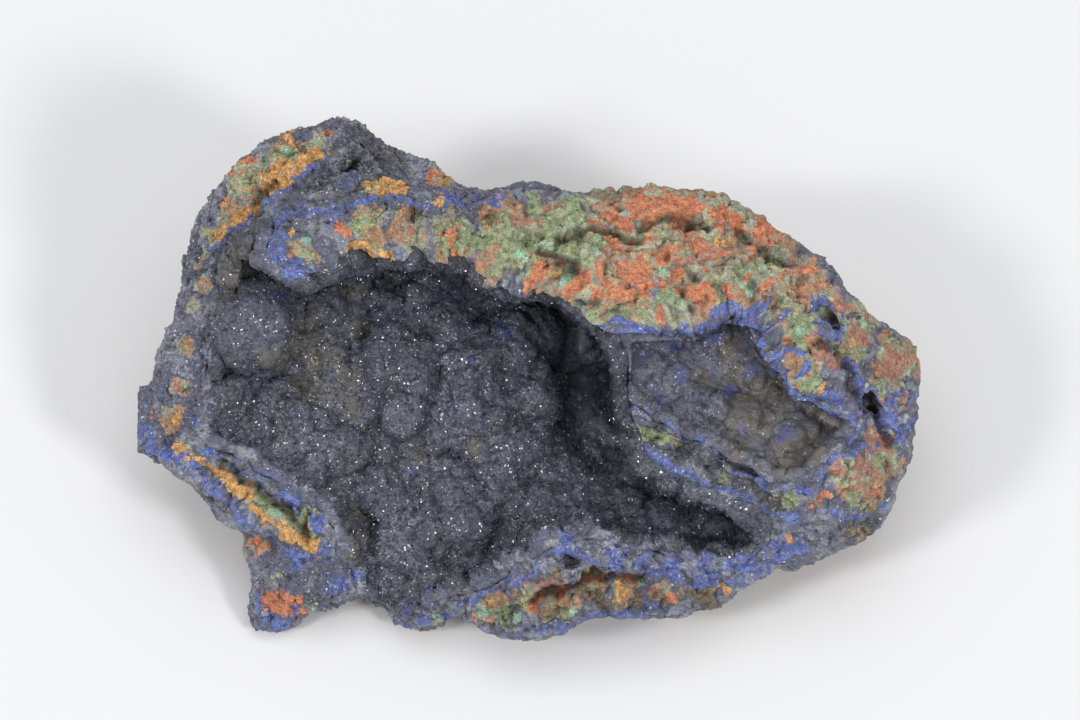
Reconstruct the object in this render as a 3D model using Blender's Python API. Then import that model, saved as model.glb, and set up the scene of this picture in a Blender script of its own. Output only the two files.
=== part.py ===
"""Azurite specimen: a broken, crystal-lined cavity in a lump of iron-stained copper ore.

The rock was laid down as one piece. A large hollow (the vug), a raised shell on its right (the bowl)
and a small pocket at its upper left are each lined with a crust of dark blue azurite, about 1.6 mm thick.

The rock is modelled face on, in its own drawing frame: u runs to the right across the broken face,
v runs up it and w stands out of it, all in millimetres. Then it is leant back into its rest pose,
and the belly is cut flat where the rock sits.
"""

import math

import bmesh
import bpy
from mathutils import Matrix, Vector, geometry, noise

MM = 0.001

# Driving dimensions, in millimetres and degrees
SPECIMEN_WIDTH = 110.0  # left tip to right end, along u
DRAWN_WIDTH = 110.0  # the width at which the outlines below are drawn
FACE_LEAN = 30.0  # how far the broken face leans back from facing straight up
CRUST_THICKNESS = 1.6  # azurite crust, from the rock to its crystal tips
CRUST_GAP = 0.35  # hairline between each crust and the rock, which keeps the solids apart
EDGE_ROUNDING = 2.5  # how far the face falls away at the outline
BACK_ROUNDING = 7.0  # and the back, which is more worn
BASE_HEIGHT = -25.0  # the flat the rock rests on, below the drawing frame's origin
GRID = 1.7  # spacing of the working meshes
FAR = 60.0  # clear of the rock on either side

# Roughness of the broken rock: spacing and height of each kind of unevenness
LUMPS = (9.0, 1.6)
CHIPS = (5.0, 0.55)
BEDS = (3.2, 1.2)  # thickness of one bed of the ore, and how far a bed steps back from the next
BED_DIP = 0.35  # how much the beds rise across the face
BED_WAVE = (12.0, 4.0)
WORN_OFF = 0.6  # puts back what easing the corners takes off all round

# Small knobs of azurite on the hollows' walls, and the height of a knob in proportion to its spacing
VUG_KNOB_SPACING = 6.0
BOWL_KNOB_SPACING = 4.5
KNOB_RISE = 0.24
NODULE_RISE = 0.62  # how far a large nodule stands out, in proportion to its radius

# Facets of each shape before the cuts
BLOCK_TRIANGLES = 3900
VUG_TRIANGLES = 2000
BOWL_TRIANGLES = 420
POCKET_TRIANGLES = 240
PIT_TRIANGLES = 70
SHARP_ANGLE = 32.0  # edges that turn by more than this many degrees stay sharp

# The rock's outline, seen square on to the face
OUTLINE = [
    (-49, 11), (-47.5, 19), (-45.5, 24.5), (-42.5, 28.5), (-39.5, 31.5), (-34.5, 34), (-30.5, 34.7),
    (-27, 36.7), (-22, 35.2), (-20.3, 31.8), (-15, 30), (-11.5, 26), (-6, 25), (-3, 25.2), (0.5, 26.8),
    (5, 25), (11.5, 24.6), (16.5, 26), (23.5, 26), (29, 23.5), (34.5, 21.5), (36.5, 18.2), (42.5, 15.5),
    (46.5, 10.5), (48.5, 7.5), (50.5, 5.5), (53.7, 5.5), (55, 2.5), (54.5, -5.5), (52, -14), (50, -18.5),
    (50, -20.8), (47.5, -23.5), (43, -24.5), (38.5, -26.2), (35.5, -26), (30.5, -29), (25.3, -32.2),
    (19.5, -32.2), (13, -33.2), (8, -33.5), (5, -35.5), (0, -36.6), (-4, -35.8), (-8.5, -34),
    (-12.5, -34.5), (-15.5, -36.2), (-18, -35.6), (-21.5, -31.5), (-26, -30.6), (-30.5, -32.5),
    (-35, -37.4), (-38.8, -36.8), (-40.2, -33), (-39.4, -30), (-40.3, -25), (-38.5, -21.5), (-40.5, -20),
    (-43, -19), (-46, -16), (-51.5, -12.2), (-55, -11), (-56.8, -7.5), (-56.6, -3.5), (-52, 1.5),
]

# The mouth of the vug. It runs off the rock's lower edge between its last two corners there
VUG_MOUTH = [
    (-35, 19.5), (-35, 16.5), (-33.5, 15), (-30, 15), (-29.5, 17), (-27, 19), (-19.5, 19.5), (-8.5, 19),
    (-7.5, 17), (-3.5, 14.5), (0.5, 13.5), (6, 14), (7, 12), (9.5, 11), (13, 7.5), (14.3, 2.5),
    (14.3, -3.5), (16.5, -9.5), (18.5, -12.5), (24.5, -14.5), (32.5, -17.5), (35.5, -20.5), (34, -25),
    (30.5, -27.5), (21.5, -26.5), (12.5, -24.5), (8, -24), (4.5, -23.5), (2.5, -24.5), (0, -26.5),
    (-4.5, -30), (-12, -33), (-14, -35), (-16, -39), (-21.5, -37), (-24.5, -31), (-24.5, -27), (-28, -26),
    (-27, -23.5), (-27.5, -19.5), (-33.5, -16.5), (-42, -11.5), (-48.5, -8.5), (-47.5, -4.5), (-46, 5),
    (-44.5, 15), (-43, 17.5), (-39, 23), (-36, 24.7), (-34.5, 23.5),
]
BOWL_MOUTH = [
    (12.5, 7.8), (17.5, 7), (23, 8.5), (29.5, 10.5), (34.5, 9), (33.5, 6.5), (34.5, 4), (38.5, 2),
    (39, -1), (40, -4), (42.5, -3.5), (45.5, -5), (47, -7), (45.5, -9.5), (42, -12), (38.5, -15.5),
    (34.5, -16), (29.5, -12.5), (24.5, -10), (19.5, -7.5), (15, -4.5), (12.5, -2), (12.5, 4),
]
POCKET_MOUTH = [
    (-27.5, 33), (-29.5, 29), (-32.5, 27), (-33.8, 25.5), (-32.5, 24), (-28, 24), (-24.5, 25),
    (-22, 26.5), (-18.5, 28.5), (-20, 30.5), (-22, 32), (-23.5, 34), (-26, 35),
]

# Heights w at landmarks (u, v). Between landmarks the surface eases from one to the next
BROKEN_FACE = [
    (-33, 17, 18), (-27, 21, 16), (-20, 22.5, 14), (-12, 20.5, 12), (-7, 20, 10), (-3, 16.5, 10),
    (0, 24, 3), (7, 16, 9), (13, 10, 9), (13, 23, 3), (22, 24, 2), (22, 15, 7), (26, 11, 8), (33, 13, 8),
    (33, 20, 2), (36, 7, 10), (41, 4, 11), (41, 12, 5), (49, 5, 2), (53, 1, 0), (50, -5, 7), (46, -2, 12),
    (44, -13, 17), (40, -16.5, 17), (50, -15, 8), (48, -21, 2), (38, -23, 5), (30, -29, 4),
    (20, -29.5, 7), (5, -27, 10), (-2, -33, 7), (-12, -34, 3), (-18, -35, 0), (-23, -30, 0),
    (-30, -27, 1), (-36, -34, -3), (-37, -25, 0), (-30, -21, 6), (-38, -16.5, 6), (-46, -12, 4),
    (-53, -7, 0), (-50, 2, 2), (-48, 14, 1), (-43, 25, 2), (-36, 31, 4), (-31, 28, 6), (-28, 35.5, 0),
    (-22, 34, -1), (-15, 29, 2), (-9, 24, 5), (26, -9, 14), (19, -6, 12), (14.5, 0, 9), (30, -14, 12),
    (22, -12, 9), (0, 0, 8), (-20, 0, 8), (-35, 0, 7),
]
BACK = [
    (-48, 16, -10), (-40, 28, -11), (-28, 34, -14), (-17, 28, -16), (-5, 23, -19), (8, 22, -20),
    (22, 24, -18), (33, 19, -18), (43, 12, -16), (52, 2, -13), (51, -12, -12), (46, -21, -9),
    (36, -24, -9), (22, -29, -9), (6, -32, -8), (-6, -33, -9), (-18, -34, -12), (-27, -29, -12),
    (-36, -34, -14), (-37, -24, -11), (-45, -15, -10), (-53, -7, -9), (-50, 3, -10), (-38, 12, -17),
    (-28, 24, -19), (-20, 12, -24), (-30, -4, -20), (-4, 10, -29), (12, 2, -33), (26, 6, -28),
    (26, -10, -28), (40, -4, -23), (0, -14, -27), (-14, -14, -24), (-12, -26, -17), (-25, -20, -18),
    (10, -24, -19), (33, -19, -20),
]
VUG_FLOOR = [
    (-41, 9, 0), (-38, 16, 1), (-37, 21, 4), (-45, 0, -1), (-46, -7, 0), (-33, 8, -4), (-38, -9, -1),
    (-31, -14, 1), (-32, 0, -4), (-27, 12, -7), (-15, 15, -11), (-12, 5, -6), (-20, -2, -4),
    (-10, -8, -4), (0.5, 4, -7), (1, -5, -7), (5.5, 4, -15), (6, -6, -16), (0, 12, -12), (7, 11, -15),
    (9, -3, -19), (9, -12, -16), (16, -18, -11), (22, -21, -8), (30, -22, -4), (1, -18, -5),
    (-14, -20, -3), (-24, -24, -4), (-22, -31, -6), (-16, -34, -4), (-8, -27, -2), (6, -22, -3),
    (18, -25, -3),
]
BOWL_FLOOR = [
    (15, 4, 3), (24, 7, 0), (32, 6, 0), (15, -3, 5), (24, -7, 7), (31, -12, 10), (37, -8, 6), (42, -6, 6),
    (38, -14, 10), (30, -1, 1), (36, 0, 2),
]
POCKET_FLOOR = [(-31, 25, -6), (-28, 28, -6), (-24, 27, -3), (-25, 33, -4), (-20, 30, -2)]

# Undercuts that carry the vug on behind the rock: centre (u, v, w) and the three radii
CAVES = {
    "under_bridge": ((-19, 16, -5), (13, 7, 8)),
    "under_north_rim": ((-2, 12, -9), (12, 9, 8)),
    "under_bowl": ((12, 1, -12), (13, 14, 8)),
    "under_ledge": ((25, -15, -7), (14, 8, 6)),
}

# Pits and slits in the broken face: centre, radii, and the turn about w in degrees
PITS = {
    "slot_beside_bowl": ((42, 8.5, 8), (3.0, 1.3, 4), -56),
    "slot_at_right_end": ((48, -3, 8), (3.4, 1.5, 4), -62),
    "slit_under_ledge": ((25, -12.6, 12), (8.5, 0.9, 5), -27),
    "hole_in_south_rim": ((6, -25.8, 10), (1.8, 1.5, 5), -40),
    "hole_in_bridge": ((-15.5, 22.3, 14), (2.2, 1.4, 4), 10),
    "groove_behind_bridge": ((-6, 22.7, 8), (4.2, 1.1, 4), -8),
    "seam_in_west_ledge": ((-36, -16.0, 6), (4.5, 0.8, 3), -40),
}

# Large round nodules of azurite, by centre (u, v) and radius
VUG_NODULES = [
    (-40.5, 8, 6.4), (-28, 9.5, 4.6), (-13, 15, 4.8), (-20, -6, 5.0), (-20.5, -16.5, 3.2), (-7, -3, 4.6),
    (-3, -12, 4.4), (-11, -20, 5.0), (-2, 7, 4.5), (9, -14, 2.6), (-35, -8, 4.4), (4, -23, 3.2),
    (-16, -33, 3.4), (-45, -2, 3.6), (17, -20, 4.0), (26, -22, 3.4),
]
BOWL_NODULES = [(37, -8.5, 2.8), (34, -1.5, 2.4), (26, 5, 2.6), (39, -12.5, 2.4), (26, -6, 3.0)]

# The walls near the bowl's thin lip carry no knobs: the lip's middle (u, v), and how far that reaches
PLAIN_LIP = ((14.5, 0.5), 10.0)


def clear_scene():
    for obj in list(bpy.data.objects):
        bpy.data.objects.remove(obj)


def height_at(u, v, landmarks):
    """The surface through the landmarks: each one counts by the inverse square of its distance."""
    total = weights = 0.0
    for mark_u, mark_v, mark_w in landmarks:
        weight = 1.0 / ((u - mark_u) ** 2 + (v - mark_v) ** 2 + 2.0) ** 2
        total += weight * mark_w
        weights += weight
    return total / weights


def depth_inside(u, v, outline):
    """How far a point lies inside a closed outline."""
    point = Vector((u, v))
    nearest = FAR
    for (u1, v1), (u2, v2) in zip(outline, outline[1:] + outline[:1]):
        foot, along = geometry.intersect_point_line(point, Vector((u1, v1)), Vector((u2, v2)))
        foot = foot.xy if 0 <= along <= 1 else Vector((u1, v1)) if along < 0 else Vector((u2, v2))
        nearest = min(nearest, (point - foot).length)
    return nearest


def add_object(name, mesh):
    obj = bpy.data.objects.new(name, mesh)
    bpy.context.scene.collection.objects.link(obj)
    return obj


def prism(name, outline):
    """The outline as a closed block that stands along w, well past the rock on both sides."""
    mesh = bpy.data.meshes.new(name)
    work = bmesh.new()
    corners = [work.verts.new((u, v, -FAR)) for u, v in outline]
    base = work.faces.new(corners)
    raised = bmesh.ops.extrude_face_region(work, geom=[base])["geom"]
    for element in raised:
        if isinstance(element, bmesh.types.BMVert):
            element.co.z = FAR
    bmesh.ops.recalc_face_normals(work, faces=work.faces)
    work.to_mesh(mesh)
    work.free()
    return add_object(name, mesh)


def ellipsoid(name, centre, radii, turn=0.0):
    """A round lump or hole with the given centre and radii, turned about w."""
    mesh = bpy.data.meshes.new(name)
    work = bmesh.new()
    bmesh.ops.create_icosphere(work, subdivisions=3, radius=1.0)
    turned = Matrix.Translation(centre) @ Matrix.Rotation(math.radians(turn), 4, "Z")
    work.transform(turned @ Matrix.Diagonal((*radii, 1)))
    work.to_mesh(mesh)
    work.free()
    return add_object(name, mesh)


def bake(obj):
    """Replaces the object's mesh with the one its modifiers make."""
    graph = bpy.context.evaluated_depsgraph_get()
    made = bpy.data.meshes.new_from_object(obj.evaluated_get(graph))
    obj.modifiers.clear()
    obj.data = made
    return obj


def remesh(obj, spacing):
    """Gives the block an even mesh, with any shapes that overlap in it fused into one skin."""
    modifier = obj.modifiers.new("even_mesh", "REMESH")
    modifier.mode = "VOXEL"
    modifier.voxel_size = spacing
    return bake(obj)


def smooth(obj, rounds, factor=0.5):
    modifier = obj.modifiers.new("ease", "SMOOTH")
    modifier.factor = factor
    modifier.iterations = rounds
    return bake(obj)


def thin_out(obj, triangles):
    """Collapses edges until about this many triangles are left."""
    work = bmesh.new()
    work.from_mesh(obj.data)
    bmesh.ops.triangulate(work, faces=work.faces)
    count = len(work.faces)
    work.to_mesh(obj.data)
    work.free()
    modifier = obj.modifiers.new("facets", "DECIMATE")
    modifier.ratio = min(1.0, triangles / count)
    return bake(obj)


def combine(obj, other, operation):
    modifier = obj.modifiers.new(operation.lower(), "BOOLEAN")
    modifier.operation = operation
    modifier.solver = "EXACT"
    modifier.object = other
    return bake(obj)


def copy_of(obj, name):
    return add_object(name, obj.data.copy())


def discard(*objects):
    for obj in objects:
        bpy.data.objects.remove(obj)


def shift_along_normals(obj, distance_at):
    """Moves each vertex along its normal by distance_at(position)."""
    normals = [vertex.normal.copy() for vertex in obj.data.vertices]
    for vertex, normal in zip(obj.data.vertices, normals):
        vertex.co += normal * distance_at(vertex.co)
    obj.data.update()
    return obj


def craggy(point):
    """Broken rock: broad lumps, sharper chips and a few steps between beds."""
    broad = noise.noise(point / LUMPS[0]) * LUMPS[1]
    chips = (noise.ridged_multi_fractal(point / CHIPS[0], 1.0, 2.1, 2, 1.0, 1.2) - 1.0) * CHIPS[1]
    height_in_beds = point.y * BED_DIP + point.z + noise.noise(point / BED_WAVE[0]) * BED_WAVE[1]
    step = (abs(height_in_beds / BEDS[0] % 1.0 - 0.5) - 0.25) * BEDS[1]
    return broad + chips + step + WORN_OFF


def grape_like(point, size, height):
    """Crowded round knobs, as azurite grows: one cell of a Voronoi pattern is one knob."""
    nearest = noise.voronoi(point / size)[0][0]
    return height * max(0.0, 1.0 - nearest * nearest * 2.2)


def stone_block():
    """The whole rock before anything is hollowed out: a block remapped between its face and its back."""
    block = remesh(prism("block", OUTLINE), GRID)
    for vertex in block.data.vertices:
        u, v, w = vertex.co
        inside = depth_inside(u, v, OUTLINE)
        face = height_at(u, v, BROKEN_FACE) - EDGE_ROUNDING * math.exp(-inside / 1.6)
        back = height_at(u, v, BACK) + BACK_ROUNDING * math.exp(-inside / 4.0)
        share = min(1.0, max(0.0, (w + FAR) / (2.0 * FAR)))
        vertex.co.z = back + (face - back) * share
    block.data.update()
    remesh(block, GRID)
    smooth(block, 2)
    shift_along_normals(block, craggy)
    return thin_out(block, BLOCK_TRIANGLES)


def hollow(name, mouth, floor, nodules, knob_size, caves, triangles):
    """The open space of one hollow: a shaft under its mouth, down to its floor, and the undercuts."""
    shaft = remesh(prism(name, mouth), GRID)
    for vertex in shaft.data.vertices:
        u, v, w = vertex.co
        if w < 0:
            bottom = height_at(u, v, floor)
            vertex.co.z = bottom + (FAR / 2 - bottom) * (w + FAR) / FAR
        else:
            vertex.co.z = FAR / 2 + w / 2
    shaft.data.update()
    for cave, (centre, radii) in caves.items():
        lump = ellipsoid(cave, centre, radii)
        combine(shaft, lump, "UNION")
        discard(lump)
    remesh(shaft, GRID * 0.85)
    smooth(shaft, 1)

    def knobs(point):
        raised = grape_like(point, knob_size, KNOB_RISE * knob_size)
        for u, v, radius in nodules:
            off = ((point.x - u) ** 2 + (point.y - v) ** 2) / radius**2
            if off < 1.0 and point.z < height_at(point.x, point.y, floor) + radius:
                raised = max(raised, radius * NODULE_RISE * math.sqrt(1.0 - off))
        lip_middle, lip_reach = PLAIN_LIP
        return -raised * min(1.0, ((point.xy - Vector(lip_middle)).length / lip_reach) ** 2)

    shift_along_normals(shaft, knobs)
    smooth(shaft, 1)
    return thin_out(shaft, triangles)


def shrunk(obj, distance):
    """A copy of the hollow with its skin drawn in. A remesh clears the folds that a deep shift leaves."""
    copy = shift_along_normals(copy_of(obj, obj.name + "_shrunk"), lambda point: -distance)
    if distance > CRUST_GAP:
        triangles = len(copy.data.polygons)
        thin_out(remesh(copy, 0.7 * GRID), triangles)
    return copy


def drop_crumbs(obj):
    """Deletes the slivers that the cuts leave beside the one real body."""
    work = bmesh.new()
    work.from_mesh(obj.data)
    unseen = set(work.verts)
    bodies = []
    while unseen:
        body, edge_of_body = set(), [unseen.pop()]
        while edge_of_body:
            vertex = edge_of_body.pop()
            body.add(vertex)
            fresh = {edge.other_vert(vertex) for edge in vertex.link_edges} & unseen
            unseen -= fresh
            edge_of_body.extend(fresh)
        bodies.append(body)
    bodies.sort(key=len)
    for crumb in bodies[:-1]:
        bmesh.ops.delete(work, geom=list(crumb), context="VERTS")
    work.to_mesh(obj.data)
    work.free()


def material(name, colour, roughness):
    made = bpy.data.materials.new(name)
    made.use_nodes = True
    shader = made.node_tree.nodes["Principled BSDF"]
    shader.inputs["Base Color"].default_value = (*colour, 1.0)
    shader.inputs["Roughness"].default_value = roughness
    made.diffuse_color = (*colour, 1.0)
    return made


def lining(name, block, own, others):
    """The crust of one hollow: a skin just inside its wall, where the rock reaches, clear of the others."""
    crust = copy_of(block, name)
    outer = shrunk(own, CRUST_GAP)
    inner = shrunk(own, CRUST_GAP + CRUST_THICKNESS)
    combine(crust, outer, "INTERSECT")
    combine(crust, inner, "DIFFERENCE")
    discard(outer, inner)
    for other in others:
        combine(crust, other, "DIFFERENCE")
    return crust


def lean_back(obj):
    """Turns the drawing frame into the rest frame, in metres: the face leans back by FACE_LEAN."""
    scale = MM * SPECIMEN_WIDTH / DRAWN_WIDTH
    obj.data.transform(Matrix.Rotation(math.radians(FACE_LEAN), 4, "X") @ Matrix.Scale(scale, 4))
    obj.data.update()


def cut_flat(obj, height):
    """Saws off everything below the height, and closes the cut with one flat face."""
    work = bmesh.new()
    work.from_mesh(obj.data)
    everything = work.verts[:] + work.edges[:] + work.faces[:]
    plane = Vector((0, 0, height))
    bmesh.ops.bisect_plane(work, geom=everything, plane_co=plane, plane_no=(0, 0, 1), clear_inner=True)
    open_edges = [edge for edge in work.edges if edge.is_boundary]
    bmesh.ops.holes_fill(work, edges=open_edges)
    bmesh.ops.recalc_face_normals(work, faces=work.faces)
    work.to_mesh(obj.data)
    work.free()


def keep_edges_sharp(obj):
    """Shades the facets as one worn surface, with its broken edges left sharp."""
    work = bmesh.new()
    work.from_mesh(obj.data)
    bmesh.ops.triangulate(work, faces=work.faces)
    for face in work.faces:
        face.smooth = True
    for edge in work.edges:
        edge.smooth = edge.calc_face_angle(math.pi) < math.radians(SHARP_ANGLE)
    work.to_mesh(obj.data)
    work.free()


def centre_on_base(objects):
    """Puts the origin at the middle of the rock's footprint box, at the height it rests on."""
    corners = [vertex.co for obj in objects for vertex in obj.data.vertices]
    low = Vector(min(corner[axis] for corner in corners) for axis in range(3))
    high = Vector(max(corner[axis] for corner in corners) for axis in range(3))
    shift = Vector((-(low.x + high.x) / 2, -(low.y + high.y) / 2, -low.z))
    for obj in objects:
        obj.data.transform(Matrix.Translation(shift))
    print("shift from the drawing frame:", [round(value / MM, 3) for value in shift], "mm")


def main():
    clear_scene()
    block = stone_block()
    vug = hollow("vug", VUG_MOUTH, VUG_FLOOR, VUG_NODULES, VUG_KNOB_SPACING, CAVES, VUG_TRIANGLES)
    bowl = hollow("bowl", BOWL_MOUTH, BOWL_FLOOR, BOWL_NODULES, BOWL_KNOB_SPACING, {}, BOWL_TRIANGLES)
    pocket = hollow("pocket", POCKET_MOUTH, POCKET_FLOOR, [], BOWL_KNOB_SPACING, {}, POCKET_TRIANGLES)

    bowl_space = shrunk(bowl, CRUST_GAP + CRUST_THICKNESS)
    vug_crust = lining("vug_crust", block, vug, [bowl_space])
    bowl_crust = lining("bowl_crust", block, bowl, [vug])
    pocket_crust = lining("pocket_crust", block, pocket, [vug])
    linings = (vug_crust, bowl_crust, pocket_crust)
    rock = copy_of(block, "ore_matrix")
    for space in (vug, bowl, pocket):
        combine(rock, space, "DIFFERENCE")
    for name, (centre, radii, turn) in PITS.items():
        pit = ellipsoid(name, centre, radii, turn)
        thin_out(pit, PIT_TRIANGLES)
        combine(rock, pit, "DIFFERENCE")
        for crust in linings:
            combine(crust, pit, "DIFFERENCE")
        discard(pit)
    discard(block, vug, bowl, pocket, bowl_space)

    pieces = (rock, *linings)
    for piece in pieces:
        lean_back(piece)
    cut_flat(rock, BASE_HEIGHT * MM * SPECIMEN_WIDTH / DRAWN_WIDTH)
    for piece in pieces:
        drop_crumbs(piece)
        keep_edges_sharp(piece)
    centre_on_base(pieces)

    rock.data.materials.append(material("iron_stained_ore", (0.30, 0.11, 0.055), 0.92))
    vug_crust.data.materials.append(material("drusy_azurite", (0.012, 0.017, 0.045), 0.34))
    bowl_crust.data.materials.append(material("botryoidal_azurite", (0.020, 0.022, 0.040), 0.45))
    pocket_crust.data.materials.append(material("sparkling_azurite", (0.010, 0.014, 0.034), 0.30))


main()
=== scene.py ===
# %% [markdown]
# # An azurite specimen
# A palm-sized lump of copper ore that broke open on a crystal-lined hollow. This lesson dresses the packed
# solids: the rough ore, the blue-black linings of its three hollows, and the small crystals on them.
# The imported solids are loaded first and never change. Each new piece is a finer version of one of them.

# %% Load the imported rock
import math
from itertools import product

import bmesh
import bpy
import numpy as np
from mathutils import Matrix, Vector
from mathutils.bvhtree import BVHTree
from mathutils.kdtree import KDTree


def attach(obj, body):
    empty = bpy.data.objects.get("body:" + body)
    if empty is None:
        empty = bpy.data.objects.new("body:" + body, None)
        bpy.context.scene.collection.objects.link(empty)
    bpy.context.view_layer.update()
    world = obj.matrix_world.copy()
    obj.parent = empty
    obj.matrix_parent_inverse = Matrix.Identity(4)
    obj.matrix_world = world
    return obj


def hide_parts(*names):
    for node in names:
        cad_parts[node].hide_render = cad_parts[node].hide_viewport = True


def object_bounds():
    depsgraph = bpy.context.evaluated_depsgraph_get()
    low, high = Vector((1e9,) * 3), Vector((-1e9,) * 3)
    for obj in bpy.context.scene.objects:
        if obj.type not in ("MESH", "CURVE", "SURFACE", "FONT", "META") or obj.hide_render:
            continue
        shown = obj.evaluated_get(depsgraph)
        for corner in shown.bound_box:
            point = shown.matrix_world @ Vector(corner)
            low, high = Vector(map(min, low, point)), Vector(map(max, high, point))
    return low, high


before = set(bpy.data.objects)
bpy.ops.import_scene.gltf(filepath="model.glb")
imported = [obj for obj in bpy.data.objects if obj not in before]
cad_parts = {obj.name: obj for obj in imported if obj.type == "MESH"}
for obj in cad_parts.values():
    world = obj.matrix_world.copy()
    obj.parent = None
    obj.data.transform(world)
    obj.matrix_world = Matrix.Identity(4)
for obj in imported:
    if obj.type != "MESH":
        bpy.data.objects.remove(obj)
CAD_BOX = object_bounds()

print("nodes:", sorted(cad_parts))

# %% [markdown]
# ## The drawing frame
# A rock has no straight edges to measure from, so places on it are given as they are seen square on to
# the broken face: u to the right, v up the face and w out of it, in millimetres. The rock lies with that
# face leaning back, so one turn and one shift lead from the drawing frame to the rest frame.

# %% Drawing frame
MM = 0.001
FACE_LEAN = math.radians(30.0)
DRAWING_ORIGIN = np.array([-0.259, -0.435, 25.0])  # the drawing frame's origin in the rest frame, in mm


def rest_point(u, v, w):
    """A place in the drawing frame as a point of the rest frame, in metres."""
    across_y = v * math.cos(FACE_LEAN) - w * math.sin(FACE_LEAN)
    up_z = v * math.sin(FACE_LEAN) + w * math.cos(FACE_LEAN)
    return Vector((DRAWING_ORIGIN + (u, across_y, up_z)) * MM)


def drawn(points):
    """Rest-frame points or directions about the drawing origin, in mm, as columns u, v, w."""
    u, y, z = points.T
    v = y * math.cos(FACE_LEAN) + z * math.sin(FACE_LEAN)
    w = z * math.cos(FACE_LEAN) - y * math.sin(FACE_LEAN)
    return np.stack((u, v, w), axis=1)


print("the drawing origin rests at", rest_point(0, 0, 0))

# %% [markdown]
# ## Camera, floor and light
# The camera looks square on to the broken face, from about a metre, with a long lens, as a mineral is
# usually shown. Two lamps stand on the near side, left and right, so soft shadows fall away up the
# table. They could be large and soft, as for a pale vase, but a small lamp is what makes single crystal
# faces flash, so they are fairly small. A wide soft lamp overhead and a pale world fill the rest.

# %% Camera
SHOWN_WIDTH = 152.3  # mm of the face that fit across the picture
CAMERA_DISTANCE = 1.0
NEAREST_SHOWN = 0.01
VIEW_CENTRE = rest_point(1.83, 2.4, 5.0)
SENSOR_WIDTH = 36.0


def deselect():
    for obj in bpy.context.selected_objects:
        obj.select_set(False)
    bpy.context.view_layer.objects.active = None


deselect()
away = Vector((0, -math.sin(FACE_LEAN), math.cos(FACE_LEAN)))
bpy.ops.object.camera_add(location=VIEW_CENTRE + CAMERA_DISTANCE * away, rotation=(FACE_LEAN, 0, 0))
camera = bpy.context.object
camera.name = "camera"
camera.data.sensor_width = SENSOR_WIDTH
camera.data.lens = SENSOR_WIDTH * CAMERA_DISTANCE / (SHOWN_WIDTH * MM)
camera.data.clip_start = NEAREST_SHOWN
bpy.context.scene.camera = camera
print("lens", round(camera.data.lens), "mm")

# %% Nodes and colours
def linear(hex_colour):
    """An sRGB hex value such as "8A6F4D" as linear red, green, blue and alpha."""
    channels = [int(hex_colour[i:i + 2], 16) / 255 for i in (0, 2, 4)]
    return [c / 12.92 if c <= 0.04045 else ((c + 0.055) / 1.055) ** 2.4 for c in channels] + [1.0]


def add(tree, kind, settings=None, **inputs):
    """Adds a node. Settings are its own properties, and inputs are values or sockets for its inputs.

    An input is called by its name, or by _ and its number where a node has several of one name.
    """
    node = tree.nodes.new(kind)
    for name, value in (settings or {}).items():
        setattr(node, name, value)
    for name, value in inputs.items():
        key = int(name[1:]) if name[0] == "_" else name.replace("_", " ")
        socket = node.inputs[key]
        if isinstance(value, bpy.types.NodeSocket):
            tree.links.new(value, socket)
        else:
            socket.default_value = value
    return node


def new_material(name):
    made = bpy.data.materials.new(name)
    made.use_nodes = True
    made.node_tree.nodes.clear()
    return made


# %% Floor
# Matt white paper, rough all over, so that it takes soft grey shadows and shows no reflection.
FLOOR_SIZE = 4.0
deselect()
bpy.ops.mesh.primitive_plane_add(size=FLOOR_SIZE, location=(0, 0, 0))
floor = bpy.context.object
floor.name = "floor"
paper = new_material("matt_white_paper")
paper_shader = add(
    paper.node_tree, "ShaderNodeBsdfPrincipled",
    Base_Color=linear("E4E4E5"), Roughness=0.9, Specular_IOR_Level=0.2)
add(paper.node_tree, "ShaderNodeOutputMaterial", Surface=paper_shader.outputs[0])
floor.data.materials.append(paper)
print("floor:", FLOOR_SIZE, "m wide")

# %% Lamps
LAMPS = {  # place in metres, side of the square lamp, watts
    "right_lamp": ((1.20, -1.30, 1.55), 0.40, 20.0),
    "left_lamp": ((-1.40, -1.00, 1.65), 0.40, 18.0),
    "top_softbox": ((0.0, -0.12, 2.10), 1.6, 16.0),
}
ROOM_TINT = "F7F9FC"
ROOM_STRENGTH = 0.46

for name, (place, side, watts) in LAMPS.items():
    aim = (rest_point(0, 0, 0) - Vector(place)).to_track_quat("-Z", "Y").to_euler()
    deselect()
    bpy.ops.object.light_add(type="AREA", location=place, rotation=aim)
    lamp = bpy.context.object
    lamp.name = name
    lamp.data.size = side
    lamp.data.energy = watts
world = bpy.data.worlds.new("pale_room")
world.use_nodes = True
world.node_tree.nodes["Background"].inputs["Color"].default_value = linear(ROOM_TINT)
world.node_tree.nodes["Background"].inputs["Strength"].default_value = ROOM_STRENGTH
bpy.context.scene.world = world
bpy.context.scene.view_settings.view_transform = "Standard"
print("lamps:", ", ".join(LAMPS))

# %% [markdown]
# ## Tools for grown and broken surfaces
# Rock and crystal crust are shaped as a sculptor would: an even, fine mesh, and then every point pushed
# out or in along its normal by a pattern. Two patterns do nearly all of it: smooth noise for wear and
# broad lumps, and crowded domes for minerals that grew outwards from many points. A displacement in the
# material could do the same, but then the shape wouldn't be in the mesh, and no crystal could stand on it.

# %% Mesh helpers
FOLD_BACK = 0.4  # how much of an overshoot past the CAD model's box comes back inside it


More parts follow.
